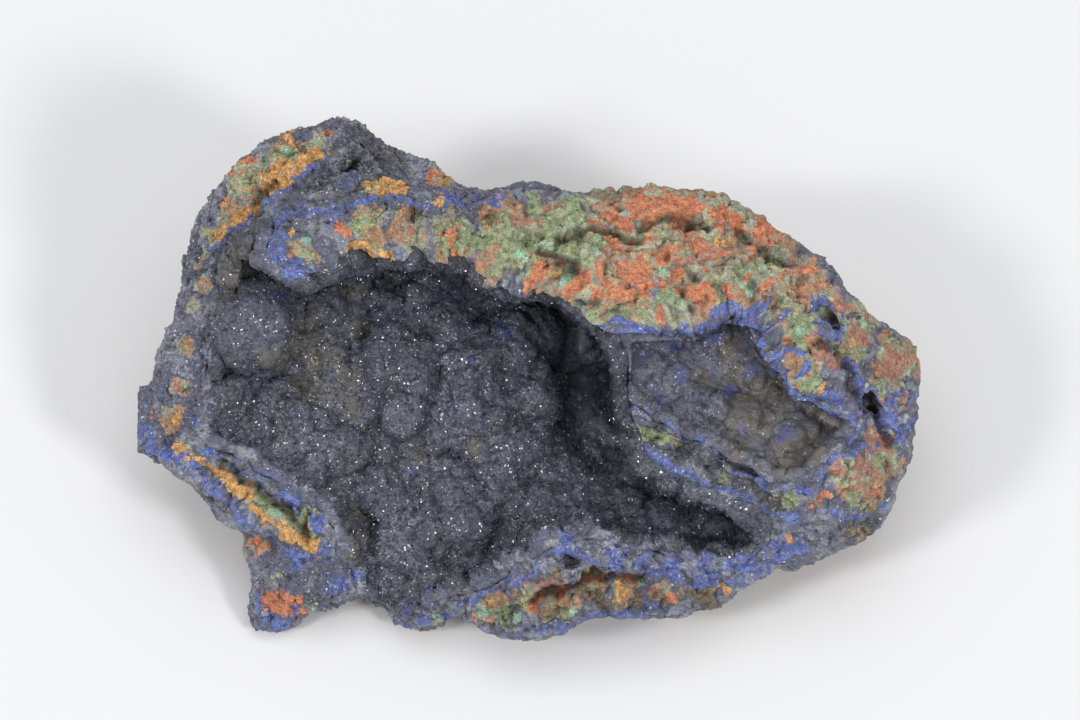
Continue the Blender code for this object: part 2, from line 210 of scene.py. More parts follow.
def finer_copy(node, name, spacing, rounds, swell=0.0):
    """A copy of a CAD node with its loose triangles merged, on an even mesh, with its facets eased.

    A thin wall would come out as lace, so the copy is first swollen by a fraction of a millimetre.
    """
    deselect()
    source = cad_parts[node]
    copy = bpy.data.objects.new(name, source.data.copy())
    copy.data.materials.clear()
    bpy.context.scene.collection.objects.link(copy)
    copy.select_set(True)
    bpy.context.view_layer.objects.active = copy
    bpy.ops.object.mode_set(mode="EDIT")
    bpy.ops.mesh.select_all(action="SELECT")
    bpy.ops.mesh.remove_doubles(threshold=0.00001)
    bpy.ops.object.mode_set(mode="OBJECT")
    if swell:
        thicker = copy.modifiers.new("thicker", "DISPLACE")
        thicker.strength = swell * MM
        thicker.mid_level = 0.0
        bpy.ops.object.modifier_apply(modifier=thicker.name)
    even = copy.modifiers.new("even_mesh", "REMESH")
    even.mode = "VOXEL"
    even.voxel_size = spacing * MM
    bpy.ops.object.modifier_apply(modifier=even.name)
    ease = copy.modifiers.new("ease_facets", "SMOOTH")
    ease.factor = 0.5
    ease.iterations = rounds
    bpy.ops.object.modifier_apply(modifier=ease.name)
    return copy


def places(obj):
    """Each vertex's place and normal: the place in mm from the drawing origin, in rest-frame directions."""
    count = len(obj.data.vertices)
    points = np.empty(count * 3)
    normals = np.empty(count * 3)
    obj.data.vertices.foreach_get("co", points)
    obj.data.vertices.foreach_get("normal", normals)
    return points.reshape(-1, 3) / MM - DRAWING_ORIGIN, normals.reshape(-1, 3)


def push(obj, distances):
    """Moves every vertex along its normal, in mm, and folds back what would leave the CAD model's box."""
    points, normals = places(obj)
    moved = (points + normals * distances[:, None] + DRAWING_ORIGIN) * MM
    low, high = np.array(CAD_BOX[0]), np.array(CAD_BOX[1])
    moved = np.where(moved > high, high - FOLD_BACK * (moved - high), moved)
    moved = np.where(moved < low, low + FOLD_BACK * (low - moved), moved)
    obj.data.vertices.foreach_set("co", moved.ravel())
    obj.data.update()


def carry(obj, moves):
    """Moves every vertex by its own u, v and w, in mm."""
    points, _ = places(obj)
    along_u, along_v, along_w = moves.T
    across_y = along_v * math.cos(FACE_LEAN) - along_w * math.sin(FACE_LEAN)
    up_z = along_v * math.sin(FACE_LEAN) + along_w * math.cos(FACE_LEAN)
    moved = (points + DRAWING_ORIGIN + np.column_stack((along_u, across_y, up_z))) * MM
    obj.data.vertices.foreach_set("co", moved.ravel())
    obj.data.update()


def paint(obj, name, values):
    """Keeps one number per vertex on the mesh, where a material can read it by name."""
    layer = obj.data.attributes.get(name) or obj.data.attributes.new(name, "FLOAT", "POINT")
    layer.data.foreach_set("value", np.clip(values, 0, 1).astype(np.float32))


def painted(obj, name):
    """The numbers that were painted on the mesh under this name."""
    values = np.empty(len(obj.data.vertices), np.float32)
    obj.data.attributes[name].data.foreach_get("value", values)
    return values


def triangle_count(obj):
    return sum(len(face.vertices) - 2 for face in obj.data.polygons)


# %% Patterns: each takes its size in mm and a seed of its own
SPREADERS = (0x9E3779B97F4A7C15, 0xC2B2AE3D27D4EB4F, 0x165667B19E3779F9)  # large odd numbers, one an axis
SEED_SPREADER = 0x27D4EB2F165667C5
LAST_64_BITS = 0xFFFFFFFFFFFFFFFF


def random_at(cells, seed, count=1):
    """Random numbers from 0 to 1 that depend only on whole-number cells and a seed."""
    x, y, z = cells.astype(np.int64).T.astype(np.uint64)
    spread_x, spread_y, spread_z = (np.uint64(number) for number in SPREADERS)
    mixed = x * spread_x + y * spread_y
    mixed += z * spread_z + np.uint64(seed * SEED_SPREADER & LAST_64_BITS)
    columns = []
    for _ in range(count):
        mixed = (mixed ^ (mixed >> np.uint64(31))) * np.uint64(0xBF58476D1CE4E5B9)
        mixed = (mixed ^ (mixed >> np.uint64(27))) * np.uint64(0x94D049BB133111EB)
        columns.append((mixed >> np.uint64(40)) / float(1 << 24))
    return np.stack(columns, axis=1)


def soft_noise(points, size, seed):
    """Smooth noise from -1 to 1, with lumps about as wide as size."""
    scaled = points / size
    base = np.floor(scaled)
    part = scaled - base
    part = part * part * (3 - 2 * part)
    total = np.zeros(len(points))
    for corner in product((0, 1), repeat=3):
        weight = np.where(corner, part, 1 - part).prod(axis=1)
        total += weight * random_at(base + corner, seed)[:, 0]
    return total * 2 - 1


def domes(points, size, seed):
    """Crowded round domes of many widths. Returns the height in sizes, and a random number per dome."""
    scaled = points / size
    base = np.floor(scaled)
    height = np.zeros(len(points))
    pick = np.zeros(len(points))
    for step in product((-1, 0, 1), repeat=3):
        cell = base + step
        draw = random_at(cell, seed, 5)
        radius = 0.55 + 0.45 * draw[:, 3]
        away_squared = ((scaled - cell - draw[:, :3]) ** 2).sum(axis=1)
        dome = np.sqrt(np.maximum(radius**2 - away_squared, 0))
        higher = dome > height
        height[higher] = dome[higher]
        pick[higher] = draw[higher, 4]
    return height, pick


def warped(points, size, seed):
    """The points, moved about by half a size, so that no pattern laid on them keeps a straight line."""
    moves = [soft_noise(points, 0.9 * size, seed + axis) for axis in range(3)]
    return points + 0.5 * size * np.column_stack(moves)


def smoothstep(value, low, high):
    part = np.clip((value - low) / (high - low), 0, 1)
    return part * part * (3 - 2 * part)


def facing_front(normals, low, high):
    """0 where the surface looks away from the front and 1 where it faces it, by w of its normal."""
    return smoothstep(drawn(normals)[:, 2], low, high)


def distance_to(node, points):
    """How far each point is from a CAD node's surface, in mm."""
    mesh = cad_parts[node].data
    corners = [vertex.co / MM for vertex in mesh.vertices]
    tree = BVHTree.FromPolygons(corners, [face.vertices[:] for face in mesh.polygons])
    return np.array([tree.find_nearest(Vector(point))[3] for point in points + DRAWING_ORIGIN])


# %% [markdown]
# ## Where each mineral shows
# The ore is a mosaic. Iron left red hematite and orange ochre in it, and copper left green malachite and
# blue azurite. Noise alone could scatter them, but on the real rock they follow its layers and lips. So
# each mineral is given as the places on the broken face where it shows: round places by centre and
# radius, and thin beds and edges of crust as lines. Behind the face nothing is placed, and the minerals
# are strewn by noise.

# %% Mineral places, in mm: u, v, radius
MINERALS = {
    "druse": [  # bare patches of dark crystal
        (-25.7, 29.9, 2.2), (-22.8, 30.6, 2.6), (-20, 28.5, 2.6), (-17.9, 26.4, 2.0), (-21.4, 32, 2.2),
        (-24.3, 32.7, 1.8), (-16.5, 25, 1.2), (-15.8, 22.8, 1.4), (-41.5, 18.5, 1.6), (-43.0, 16.0, 1.6),
        (46.2, 8.2, 1.1), (47.7, -5.8, 0.8), (6.0, -25.6, 1.3), (49.2, -21.4, 1.8), (46.0, -20.8, 1.6),
        (18.5, -7.8, 1.5), (22.0, -9.9, 1.5), (25.5, -12.0, 1.5), (29.0, -14.0, 1.5), (32.5, -16.0, 1.4),
        (35.5, -17.8, 1.2), (20.0, -11.2, 1.3), (26.5, -14.6, 1.3), (16.2, -7.0, 1.0), (-27.8, 28.5, 2.6),
        (-26.2, 31.5, 2.4), (-24.5, 34.2, 2.0), (-22.3, 33.6, 2.2), (-26.6, 25.6, 2.2),
        (-19.5, 31.0, 2.2), (-29.4, 25.2, 1.5), (-23.5, 26.5, 2.0),
    ],
    "malachite": [  # dull green copper ore
        (-1, 18.6, 3.1), (2.5, 20, 3.1), (6.1, 18.6, 2.8), (8.9, 19.3, 2.5), (-3.8, 21.4, 2.1),
        (1.1, 16.2, 1.7), (8.2, 16.2, 2), (0.4, 24.5, 1.4), (6.8, 24, 2), (18, 21, 1.1), (30, 15.1, 1.4),
        (32.1, 16.2, 1.1), (35, 16.5, 1.4), (9.2, 10.9, 1.1), (11, 9.4, 1), (13.5, 9.0, 1.2),
        (21.5, 10.4, 1.3), (26.0, 11.6, 1.2), (36.6, 10.6, 1.0), (15.9, 9.7, 1.4), (19.5, 10.9, 1.1),
        (38.9, 6.6, 1.8), (40.2, -0.1, 0.8), (46.7, 2.8, 1), (49.3, -1.1, 1), (52.2, 4.4, 1),
        (44.8, -14.5, 1.4), (45.5, -17.3, 1.1), (37.1, -17.6, 1.4), (17.1, -7.6, 0.8), (21.1, -9.3, 1),
        (27.5, -14, 1.3), (-2.8, -33.7, 1.6), (4.7, -33.3, 1.7), (8.6, -28.6, 1.1), (-12.7, -33.7, 1.1),
        (-37.2, -17.3, 1.1), (-31.6, -20.2, 1.7), (-30.2, -31.7, 0.8), (-39.3, 27.8, 1.1),
        (-33.4, 31.3, 1.3), (-22.7, 22.1, 1.6), (-10.9, 20.4, 1.7), (-37, 30.4, 1.3), (-30.9, 17.6, 1),
        (-21.9, 26.1, 0.7), (-16.2, 29.5, 0.7), (-35.5, -27.9, 0.8), (-47.5, -10.6, 0.7), (20.9, 19.3, 1),
    ],
    "verdigris": [  # bright pale green bloom
        (19.7, 14.8, 0.8), (15.9, 18.9, 0.6), (31.2, 12.7, 1.1), (47.5, 7.5, 0.7), (15.7, -29, 0.6),
        (-5.9, -33.1, 0.7), (-35.5, -19, 0.8), (-30.3, 33.6, 0.8), (-34.5, 32.1, 0.7), (-30.9, 19.5, 0.7),
        (10.9, 11.8, 0.4), (6.5, -32.9, 0.6), (18.8, 21.6, 0.8), (6.1, 15.0, 0.8), (39.0, 6.3, 0.9),
        (5.5, 21.5, 0.8), (-1.0, 17.6, 0.9), (3.2, 18.8, 0.7), (9.5, 17.5, 0.7), (22.2, 12.8, 0.7),
        (-3.6, 20.2, 0.7), (33.0, 15.6, 0.7), (16.1, -29.3, 0.7), (-1.7, -34.4, 0.7),
    ],
    "ochre": [  # yellow-brown iron earth
        (-32, 30.2, 1.4), (-29.5, 31.7, 0.8), (-35.2, 27.4, 1), (-40, 23.8, 0.8), (-42.4, 20.4, 0.8),
        (-34.7, 28.9, 0.8), (-19.3, 26.8, 1.4), (-12.3, 24.3, 0.8), (-10.9, 23.8, 0.6),
        (-20.5, 26.2, 1.0), (-33, 20.4, 0.6), (-36.5, 27, 1.4), (-30.5, 32.2, 1.2), (-44, -13.1, 1.1),
        (-41.6, -15.2, 1.4), (-39.1, -17.3, 1.3), (-48.6, -10.4, 1), (-34.8, -20.9, 1),
        (-30.3, -23.7, 1.3), (-49.6, -6.1, 0.7), (-4.9, -32.1, 0.8), (11.1, -27.2, 1), (13.5, -29.8, 1),
        (28.1, -29.8, 1), (36.9, -22.4, 0.7), (41.6, -2.1, 0.8), (49.9, -3.1, 0.6), (41.6, -16.2, 0.7),
        (39.2, -1.1, 0.8), (-32.7, -31.4, 0.7), (20.4, -30.7, 0.7), (-33.7, 33.4, 0.8),
    ],
    "hematite": [  # red iron ore
        (12, 22.8, 1.7), (15.9, 24.5, 2.3), (19.5, 25, 2.3), (23, 24.3, 2.3), (26.5, 23.3, 2),
        (17.3, 22.8, 1.7), (13.8, 21.9, 1.4), (17.3, 19.9, 1.3), (24.4, 18.6, 1.3), (33.6, 20.4, 2),
        (30.7, 18.2, 1.1), (36.4, 14.4, 1), (34.3, 13, 1), (1.8, 15.1, 1.4), (8.2, 13.7, 1.4),
        (11, 12.3, 1.7), (13.8, 12, 1.4), (19.3, 13.3, 1.1), (24.4, 11.8, 2), (27.9, 12.3, 1.3),
        (18, 9.2, 1), (-41.2, 28.9, 1.1), (-39.1, 30.6, 1), (-36.2, 28.9, 0.6), (-42.6, 24.5, 1),
        (-25.7, 20.7, 1.3), (-33.1, 16.5, 0.6), (-36.0, -32.0, 1.8), (-34.2, -32.4, 1.8),
        (-32.8, -32.7, 1.3), (-38.2, -23.4, 1), (20.3, -31.0, 1.0), (-52.9, -5.8, 0.7), (1.3, -32.3, 1.3),
        (4.4, -29.8, 1.1), (40.6, -17.3, 1.1), (-13.4, 28.5, 1), (41.3, 3.8, 1.1), (-28.1, 35.2, 0.6),
        (14.9, 16.2, 3.1), (22.4, 21.4, 1.8), (26.8, 21.4, 1.5), (12.0, 18.6, 1.4), (19.6, 17.0, 1.4),
        (16.4, 12.4, 1.4), (21.8, 11.8, 1.2), (29.6, 21.8, 1.5), (21.6, 15.0, 1.1), (10.2, 15.0, 1.2),
        (30.8, 14.2, 1.0), (9.6, 22.0, 1.1), (24.8, 15.6, 1.0),
    ],
    "brick": [  # dense chips of darker red
        (44.4, 10.2, 2), (46.5, 5.6, 1.4), (52, 1.7, 2.4), (49.8, -8.9, 2.5), (47.2, -12.5, 2),
        (2.5, -29.3, 1.5), (41, 3.5, 1.7), (42.9, 1.8, 1.1), (43.4, -13.1, 1.4), (17.9, -30.2, 0.9),
    ],
    "dun": [  # plain brown ore
        (23.5, 22.3, 1.3), (28.3, 17.9, 1.8), (28.3, 20, 1.1), (24, -30.3, 1.7), (7.6, -30.3, 1.3),
        (47, -21.6, 2), (49.2, -4.7, 1.1), (27.2, 15.1, 1.1), (34.3, 10.9, 1.4), (37.8, 10.9, 1.1),
        (-25, 18.6, 0.8), (15.9, -31.4, 1.3), (9.8, -30.6, 1.6), (13.0, -31.2, 1.3), (18.6, -31.0, 1.2),
        (25.4, -31.6, 1.4), (6.3, -30.6, 1.3), (-1.5, -31.0, 1.1), (4.0, -27.8, 1.2), (22, -30.6, 1.0),
    ],
    "azurite": [  # bare blue crust
        (46.9, -0.4, 1.7), (51.6, -6.3, 2), (37.8, -23.7, 2.3), (-36.2, -34.5, 1.8), (-27, -29.3, 2),
        (-24.3, -28, 1.4), (-53.4, -8.9, 1.8), (-35.5, 10.9, 1), (-33.1, 14.8, 1.6), (-34.4, 18, 1.5),
        (-27, 22.6, 1.6), (30.4, -25.5, 3), (20, -26.5, 3), (-15.4, -34.6, 1.6), (-10.0, 24.6, 1.1),
        (-7.5, 24.6, 1.1), (-31.5, 23.2, 1.6), (-36.0, 23.6, 1.2), (-26.5, 31.0, 0.8), (50, -5, 1.5),
        (53, -7, 1.6), (48.3, -2.8, 1.3), (53.5, -4, 1.3), (46.0, 1.0, 1.1), (46.6, -3.5, 1.0),
        (5, -24, 1.5), (12.5, -25.4, 1.8), (16.5, -26, 2.0), (25, -27, 2.4), (35.5, -24.4, 2.0),
        (-48, -12.5, 1.4), (-44, -16, 1.4), (-40, -20, 1.4), (-33, -26.5, 1.5), (-2, -28.8, 1.2),
        (-44, -10, 1.0), (-39, -13.5, 1.0), (-34, -17, 1.2), (-30, -20.5, 1.4), (-28, -24, 1.2),
        (49.0, -1.5, 1.2), (50.8, -3.6, 1.2), (52.6, -2.2, 1.0), (47.3, -5.0, 1.0), (49.8, -7.0, 1.2),
        (54.0, -5.5, 1.2), (52.0, -9.0, 1.2), (41.0, 9.9, 1.2), (44.0, 6.9, 1.2), (41.9, 6.2, 1.1),
        (44.3, 8.8, 1.1), (42.4, 11.2, 1.0), (43.2, 5.2, 1.0), (40.6, 7.8, 1.0), (48.9, -9.8, 1.0),
        (-34.8, 21.5, 1.7), (-35.0, 19.2, 1.8), (-34.6, 16.6, 1.8), (-32.6, 14.9, 1.7),
        (-30.6, 15.2, 1.3), (-45.0, -9.5, 1.5), (-41.0, -12.4, 1.6), (-37.0, -14.6, 1.6),
        (-33.0, -17.6, 1.6), (-30.0, -21.2, 1.6), (-27.6, -24.6, 1.6), (-47.5, -6.0, 1.3),
    ],
}

# %% Ground, edges, beds and cracks, in mm
EARTHY = [  # where the ground between the minerals is earth, not blue crystal: u, v, radius
    (-3, 20, 4), (5, 20, 5), (12, 19, 5), (20, 19, 6), (28, 17, 5), (34, 14, 4.5), (22, 12.5, 3.5),
    (11, 13.5, 3.5), (5, 16.5, 3), (38.5, 8, 2.5), (39.5, 2, 2), (46, 8, 3), (45.5, 4, 2.5), (52, 2, 3),
    (49.8, -8.9, 2.2), (45, -14, 2.5), (-39, 27.5, 3), (-34, 31, 2.5), (-42, 23, 2.2), (-16, 21, 2.5),
    (-10, 20.5, 2.5), (-22, 21.5, 2), (-31.5, 18, 1.3), (-20, 26.5, 1.2), (-13, 28, 1.5),
    (-43, -13, 1.2), (-39, -16.5, 1.3), (-35, -19.5, 1.4), (-31.5, -22, 1.4), (-5, -32.5, 2),
    (0, -31.5, 2.2), (5, -31.5, 2.2), (9, -29, 1.8), (14, -29.5, 1.6), (19, -30.5, 1.4), (25, -30.3, 1.3),
    (28, -13, 0.9), (21, -9.3, 0.9), (35.5, -17.5, 1.1), (-35, -32.2, 1), (12, 24, 4), (20, 26, 4),
    (28, 23.5, 4), (34, 20, 4), (39, 14, 3), (42, 10.5, 2.5), (-3, 24, 2), (53, 3, 3), (53, -2, 1.5),
    (50, -12, 2.5), (47.5, -16, 2.5), (48, 9, 2.5), (-47, 10, 1.2), (-49, -1, 1.2), (-50.5, -6, 1.5),
    (-46, 17, 1.2), (-30, 33.5, 1.5), (-12, 28, 1.5), (-38.5, -24, 1.3), (15.5, 10, 2.2), (20, 10.6, 2.2),
    (25, 11.6, 2), (29.5, 12, 2), (34, 12, 1.8), (37.5, 6.2, 1.3), (40, 4, 1.6), (-48.5, 4.5, 1.3),
    (-45.5, 13, 1.2), (48.5, -1, 1.6), (52.5, -6, 1.4), (-44.5, 19.5, 1.3), (12, 8.9, 1.2),
]
BOWL_EDGE = [  # where the bowl's lip is bare azurite: u, v, radius
    (15, 6.5, 2.5), (19, 7, 3), (23, 7.5, 3), (27, 8.5, 3), (30.5, 9, 3), (33, 7.5, 3), (34.5, 4.5, 3),
    (37, 3, 2.5), (38.5, 0, 2.5), (40, -3.5, 2.5), (44, -5, 2), (14.5, 3, 1.2), (46, -9, 1.5), (14.3, 0, 1),
]
AZURITE_EDGES = [  # lips where the azurite crust is seen edge on: lines of u, v
    [(9.8, 9.6), (12.4, 7.9), (15.4, 7.5), (18, 8), (22, 8.6)],
    [(23, 8.3), (24.8, 9.3), (27.5, 11), (30, 10), (33.6, 10.4)],
    [(36.7, 9.2), (34, 7.8), (34.3, 4.8), (36.7, 3.4), (38.4, 3.8), (38.9, 1), (39.3, -2.1), (40.6, -3.9),
     (43, -2.7)],
    [(43.9, -2.7), (45.5, -5.4), (47, -7.8)],
    [(47.4, -8.9), (42.2, -12.3), (39.8, -15.9), (34.3, -15.4), (29.9, -13.8), (24.1, -8.9), (18.8, -6.1),
     (15.9, -3.9), (14.5, -0.4), (14, 3.8), (14.5, 7.3)],
    [(15.9, -8.9), (18, -11.4), (23, -14.2), (30.5, -16.9), (35, -19), (38.5, -20.4)],
    [(40.2, 11.1), (41.3, 9.2), (42.2, 6.6), (43.7, 5.5), (44.6, 7.8), (43.1, 10), (41, 11.6)],
    [(45.3, 1.8), (47.2, 0.7), (47.5, -2.5), (47.2, -4.9), (50.5, -6.8), (52.3, -8.9), (53.3, -6.1),
     (54.3, -2.5)],
    [(50.2, -18), (45.5, -19.7), (41.6, -19)],
    [(35.4, -21.6), (37.8, -24.1), (40.6, -24.7)],
    [(-3.1, -30), (-0.4, -28.6), (2.5, -25.1), (5.1, -23.7), (8.2, -24.7), (10.3, -26.6), (15.9, -27.5),
     (23, -28.6), (30, -29), (35.4, -26.5), (38.5, -23.7)],
    [(-8.7, -34), (-5.2, -35.4), (-1.7, -36.2), (2.5, -36), (6.8, -34.8), (10.3, -32.9), (15.9, -33.1),
     (19.5, -32.6)],
    [(-27.8, 32.1), (-29.5, 29.5), (-32, 27.5), (-34.8, 25.5), (-37.4, 24), (-40, 21.9), (-42.6, 19.3),
     (-44.7, 17.6)],
    [(-33.4, 22.8), (-34.4, 20), (-34.4, 17.2), (-33.1, 14.8), (-30.3, 14.4)],
    [(-29.2, 23.3), (-27.1, 23.8), (-17.9, 25), (-13.7, 23.5), (-8, 24.3)],
    [(-12.3, 25.5), (-8, 24.3), (-3.1, 24.4)],
    [(-51, -10.6), (-45.4, -14.5), (-40.5, -19.5), (-37.4, -21.6), (-33.4, -24.7), (-29.5, -25.8),
     (-28.5, -23.7)],
    [(-38.2, -31.4), (-37.9, -34.5), (-36.2, -36), (-34.1, -34.5), (-33.4, -32.9)],
    [(-29.2, -30.7), (-25.7, -30.3), (-23.3, -27.9)],
    [(-18.6, -33.6), (-17.2, -35.7), (-15.1, -34.5), (-10.2, -32.6), (-3.8, -30.3)],
    [(-53.9, -7.5), (-53.2, -10.3), (-51, -11.4)],
]
MINERAL_LINES = {  # mineral: the width of its thin beds in mm, and their lines of u, v
    "ochre": (0.9, [
        [(-43.9, 19.3), (-38.8, 24.1), (-33.1, 27.8), (-28.1, 32.3)],
        [(-38.8, 26.9), (-33.1, 30.0), (-29.2, 31.7)],
        [(-49.5, -10.7), (-47.5, -11.3), (-43.1, -13.4), (-39.6, -17.1), (-34.7, -21.3), (-29.5, -24.8)],
        [(-25.7, 18.6), (-23.3, 19.3), (-20.7, 18.6)], [(-22.8, 26.4), (-20.0, 27.4), (-17.6, 26.1)],
    ]),
    "malachite": (1.1, [
        [(-37.9, -16.2), (-36.0, -18.5), (-33.4, -20.2), (-29.9, -22.3)],
        [(15.9, -7.5), (18.0, -8.3), (19.9, -8.9)], [(-3.1, 20.4), (0.4, 19.3), (4.7, 18.6)],
        [(-10.9, 21.4), (-8.0, 20.0), (-5.2, 19.3)], [(18.0, 10.9), (23.0, 12.3), (27.2, 13.0)],
        [(37.4, 7.8), (38.5, 5.2), (39.3, 2.1), (40.6, -1.1)],
    ]),
}
CRACKS = [  # lines of u, v
    [(-38.6, 24.5), (-35.4, 26.9)],
    [(-43.1, -11.8), (-38.8, -15.4), (-36.1, -17.1), (-33.0, -19.7), (-32.0, -22.3)],
    [(4.7, 20.0), (10.3, 20.4), (15.9, 19.3)], [(15.9, 21.4), (21.6, 22.8), (25.1, 21.0)],
    [(2.5, 17.9), (4.7, 16.2), (6.8, 15.4)], [(23.0, -7.5), (26.5, -9.9), (30.3, -12.5), (32.9, -14.2)],
    [(0.4, -31.4), (4.7, -29.8), (10.3, -27.9), (15.9, -28.6)], [(45.5, -0.4), (48.1, -4.7), (51.2, -8.9)],
    [(30.0, 20.7), (33.6, 17.9), (37.1, 16.2)], [(41.3, 4.5), (43.9, 3.5), (45.5, 0.7)],
]
HOLES = [  # small deep holes: u, v, radius
    (-15.8, 22.8, 1.1), (42.9, 8.3, 1.1), (-43.3, 14.6, 0.9),
]
CHIP_FACES = [  # broad flat faces of single chips: u, v, radius
    (14.9, 16.2, 2.8), (44.4, 10.2, 1.9), (49.8, -8.9, 2.3), (52.0, 1.7, 1.8), (-35.1, -32.4, 1.2),
    (20.5, 24.6, 2.6), (16.5, 24.0, 2.0), (46.5, 5.6, 1.3),
]
SHADED_LEDGES = [  # where shade is painted over low ledges, between the grains: u, v, radius
    (-3, -33, 2.5), (3, -31, 3), (10, -30, 3), (17, -30.5, 3), (24, -31, 2.5), (18, -8, 1.8), (22, -10.5, 2),
    (26, -13, 2), (30, -15.3, 2), (34, -17.3, 1.8),
]
EDGE_WIDTH = 0.55
CRACK_WIDTH = 0.7
STREWN = {  # mineral: the seed of its noise, and the most of the back that it covers
    "malachite": (12, 0.85), "ochre": (13, 0.85), "hematite": (14, 0.85), "brick": (15, 0.85),
    "dun": (16, 0.85), "azurite": (17, 0.65),
}

print(sum(len(spots) for spots in MINERALS.values()), "mineral places,", len(AZURITE_EDGES), "azurite edges")


# %% Which mineral shows at a point
FAR_OFF = 99.0  # mm
BED_THICKNESS = 1.1
BED_LENGTH = 5.5


def near_spots(u, v, spots):
    """1 inside the round places, falling to 0 at about one and a half radii."""
    best = np.zeros(len(u))
    for spot_u, spot_v, radius in spots:
        best = np.maximum(best, 1.5 - np.hypot(u - spot_u, v - spot_v) / radius)
    return np.clip(best, 0, 1)


def near_lines(u, v, lines, width):
    """1 on the lines, falling to 0 at about one and a half widths."""
    nearest = np.full(len(u), FAR_OFF)
    for line in lines:
        for (u1, v1), (u2, v2) in zip(line, line[1:]):
            along = ((u - u1) * (u2 - u1) + (v - v1) * (v2 - v1)) / ((u2 - u1) ** 2 + (v2 - v1) ** 2)
            along = np.clip(along, 0, 1)
            off_u, off_v = u - u1 - along * (u2 - u1), v - v1 - along * (v2 - v1)
            nearest = np.minimum(nearest, np.hypot(off_u, off_v))
    return np.clip(1.5 - nearest / width, 0, 1)


def wavering(points, broad=(0.8, 2.2, 21, 23), fine=(0.45, 0.8, 22, 24)):
    """u and v of the points, wavering so that no placed edge stays smooth.

    Broad and fine are how far the points waver and over what length, in mm, and a seed for u and for v.
    """
    u, v, _ = drawn(points).T
    for reach, length, seed_u, seed_v in (broad, fine):
        u = u + reach * soft_noise(points, length, seed_u)
        v = v + reach * soft_noise(points, length, seed_v)
    return u, v


def strata(points, depth, seed):
    """Noise in thin beds that follow the walls of the hollows: depth is the distance from the wall."""
    u, v, _ = drawn(points).T
    along = (depth / BED_THICKNESS, u / BED_LENGTH, v / BED_LENGTH)
    return soft_noise(np.column_stack(along), 1.0, seed)


def placed_share(mineral, points, u, v):
    """How much of a mineral its own places, beds and lips give each point."""
    placed = near_spots(u, v, MINERALS[mineral])
    if mineral in MINERAL_LINES:
        width, lines = MINERAL_LINES[mineral]
        placed = np.maximum(placed, near_lines(u, v, lines, width))
    if mineral == "azurite":
        edge_noise = 0.5 + 0.5 * soft_noise(points, 3.5, 25)
        lips = near_lines(u, v, AZURITE_EDGES, EDGE_WIDTH * (0.35 + 1.3 * edge_noise))
        placed = np.maximum(0.8 * placed, lips * (0.85 + 0.3 * soft_noise(points, 1.2, 26)))
    return placed


def strewn_share(mineral, points, depth, front, earthy):
    """How much of a mineral noise strews: in patches behind the broken face, and in thin beds on it."""
    if mineral not in STREWN:
        return 0.0
    seed, most_behind = STREWN[mineral]
    patches = soft_noise(points, 8.0, seed) + 0.6 * soft_noise(points, 3.0, seed + 40)
    beds = strata(points, depth, seed + 80)
    on_front = 0.6 * (1 - earthy) if mineral == "azurite" else 0.25 + 0.75 * earthy
    behind = smoothstep(patches, 0.1, 0.6) * (1 - front) * most_behind
    return behind + 0.7 * smoothstep(beds, 0.2, 0.6) * front * on_front


def minerals_at(points, normals, depth, grain_pick):
    """How much of each mineral shows at each point, from 0 to 1. Grains keep or lose it as a whole."""
    u, v = wavering(points)
    front = facing_front(normals, -0.45, 0.0)
    behind = smoothstep(soft_noise(points, 9.0, 27) + 0.5 * soft_noise(points, 3.0, 28), -0.3, 0.3)
    shares = {"earthy": near_spots(u, v, EARTHY) * front + behind * (1 - front)}
    for mineral in MINERALS:
        placed = placed_share(mineral, points, u, v)
        strewn = strewn_share(mineral, points, depth, front, shares["earthy"])
        keeps = np.modf(grain_pick * (7.3 + 1.7 * len(shares)))[0] - 0.5
        share = np.maximum(placed * front, strewn)
        shares[mineral] = np.clip(share + 0.6 * keeps * smoothstep(share, 0.1, 0.5), 0, 1)
    rusty = np.maximum.reduce([shares[name] for name in ("dun", "ochre", "malachite", "hematite", "brick")])
    shares["sparkle"] = np.clip(np.maximum(1 - shares["earthy"], shares["azurite"]) - rusty, 0, 1)
    return shares


# %% [markdown]
# ## The ore
# The real rock broke off its bed and then weathered. Its skin is a crust of small grains, with flatter
# broken faces where single chips of red hematite show. It is too irregular for any primitive, so it
# starts from the CAD solid: an even mesh with a point about every 0.7 mm, which is then pushed into beds,
# lumps, grains and pits. The broken face is seen best, so its mesh is cut twice as fine, and the walls
# that the azurite linings hide are thinned out to pay for it.

# %% The ore's mesh
ORE_SPACING = 0.69
ORE_SWELL = 0.36
CRUSTS = ("vug_crust", "bowl_crust", "pocket_crust")
BY_LINING = 0.55  # ore that is nearer to a lining than this is a wall behind it
LIP_DEPTH = 1.6  # how far down the wall of a hollow the bare rock shows, before the lining starts
HIDDEN_BELOW = LIP_DEPTH + 1.0
HIDDEN_DETAIL = 0.15  # the share of the hidden walls' triangles that is kept
FINE_ABOVE = LIP_DEPTH - 0.8
FINE_FACING = 0.12  # how far a face must turn to the front to be cut finer: w of its normal


def select_faces(obj, wanted):
    """Selects the faces whose numbers are wanted, and opens the mesh in edit mode."""
    deselect()
    obj.select_set(True)
    bpy.context.view_layer.objects.active = obj
    bpy.ops.object.mode_set(mode="EDIT")
    bpy.ops.mesh.select_mode(type="FACE")
    bpy.ops.mesh.select_all(action="DESELECT")
    bpy.ops.object.mode_set(mode="OBJECT")
    obj.data.polygons.foreach_set("select", wanted)
    bpy.ops.object.mode_set(mode="EDIT")


def per_face(obj, values):
    """The value at the first corner of each face."""
    first = np.empty(len(obj.data.polygons), np.int32)
    obj.data.polygons.foreach_get("loop_start", first)
    corners = np.empty(len(obj.data.loops), np.int32)
    obj.data.loops.foreach_get("vertex_index", corners)
    return values[corners[first]]


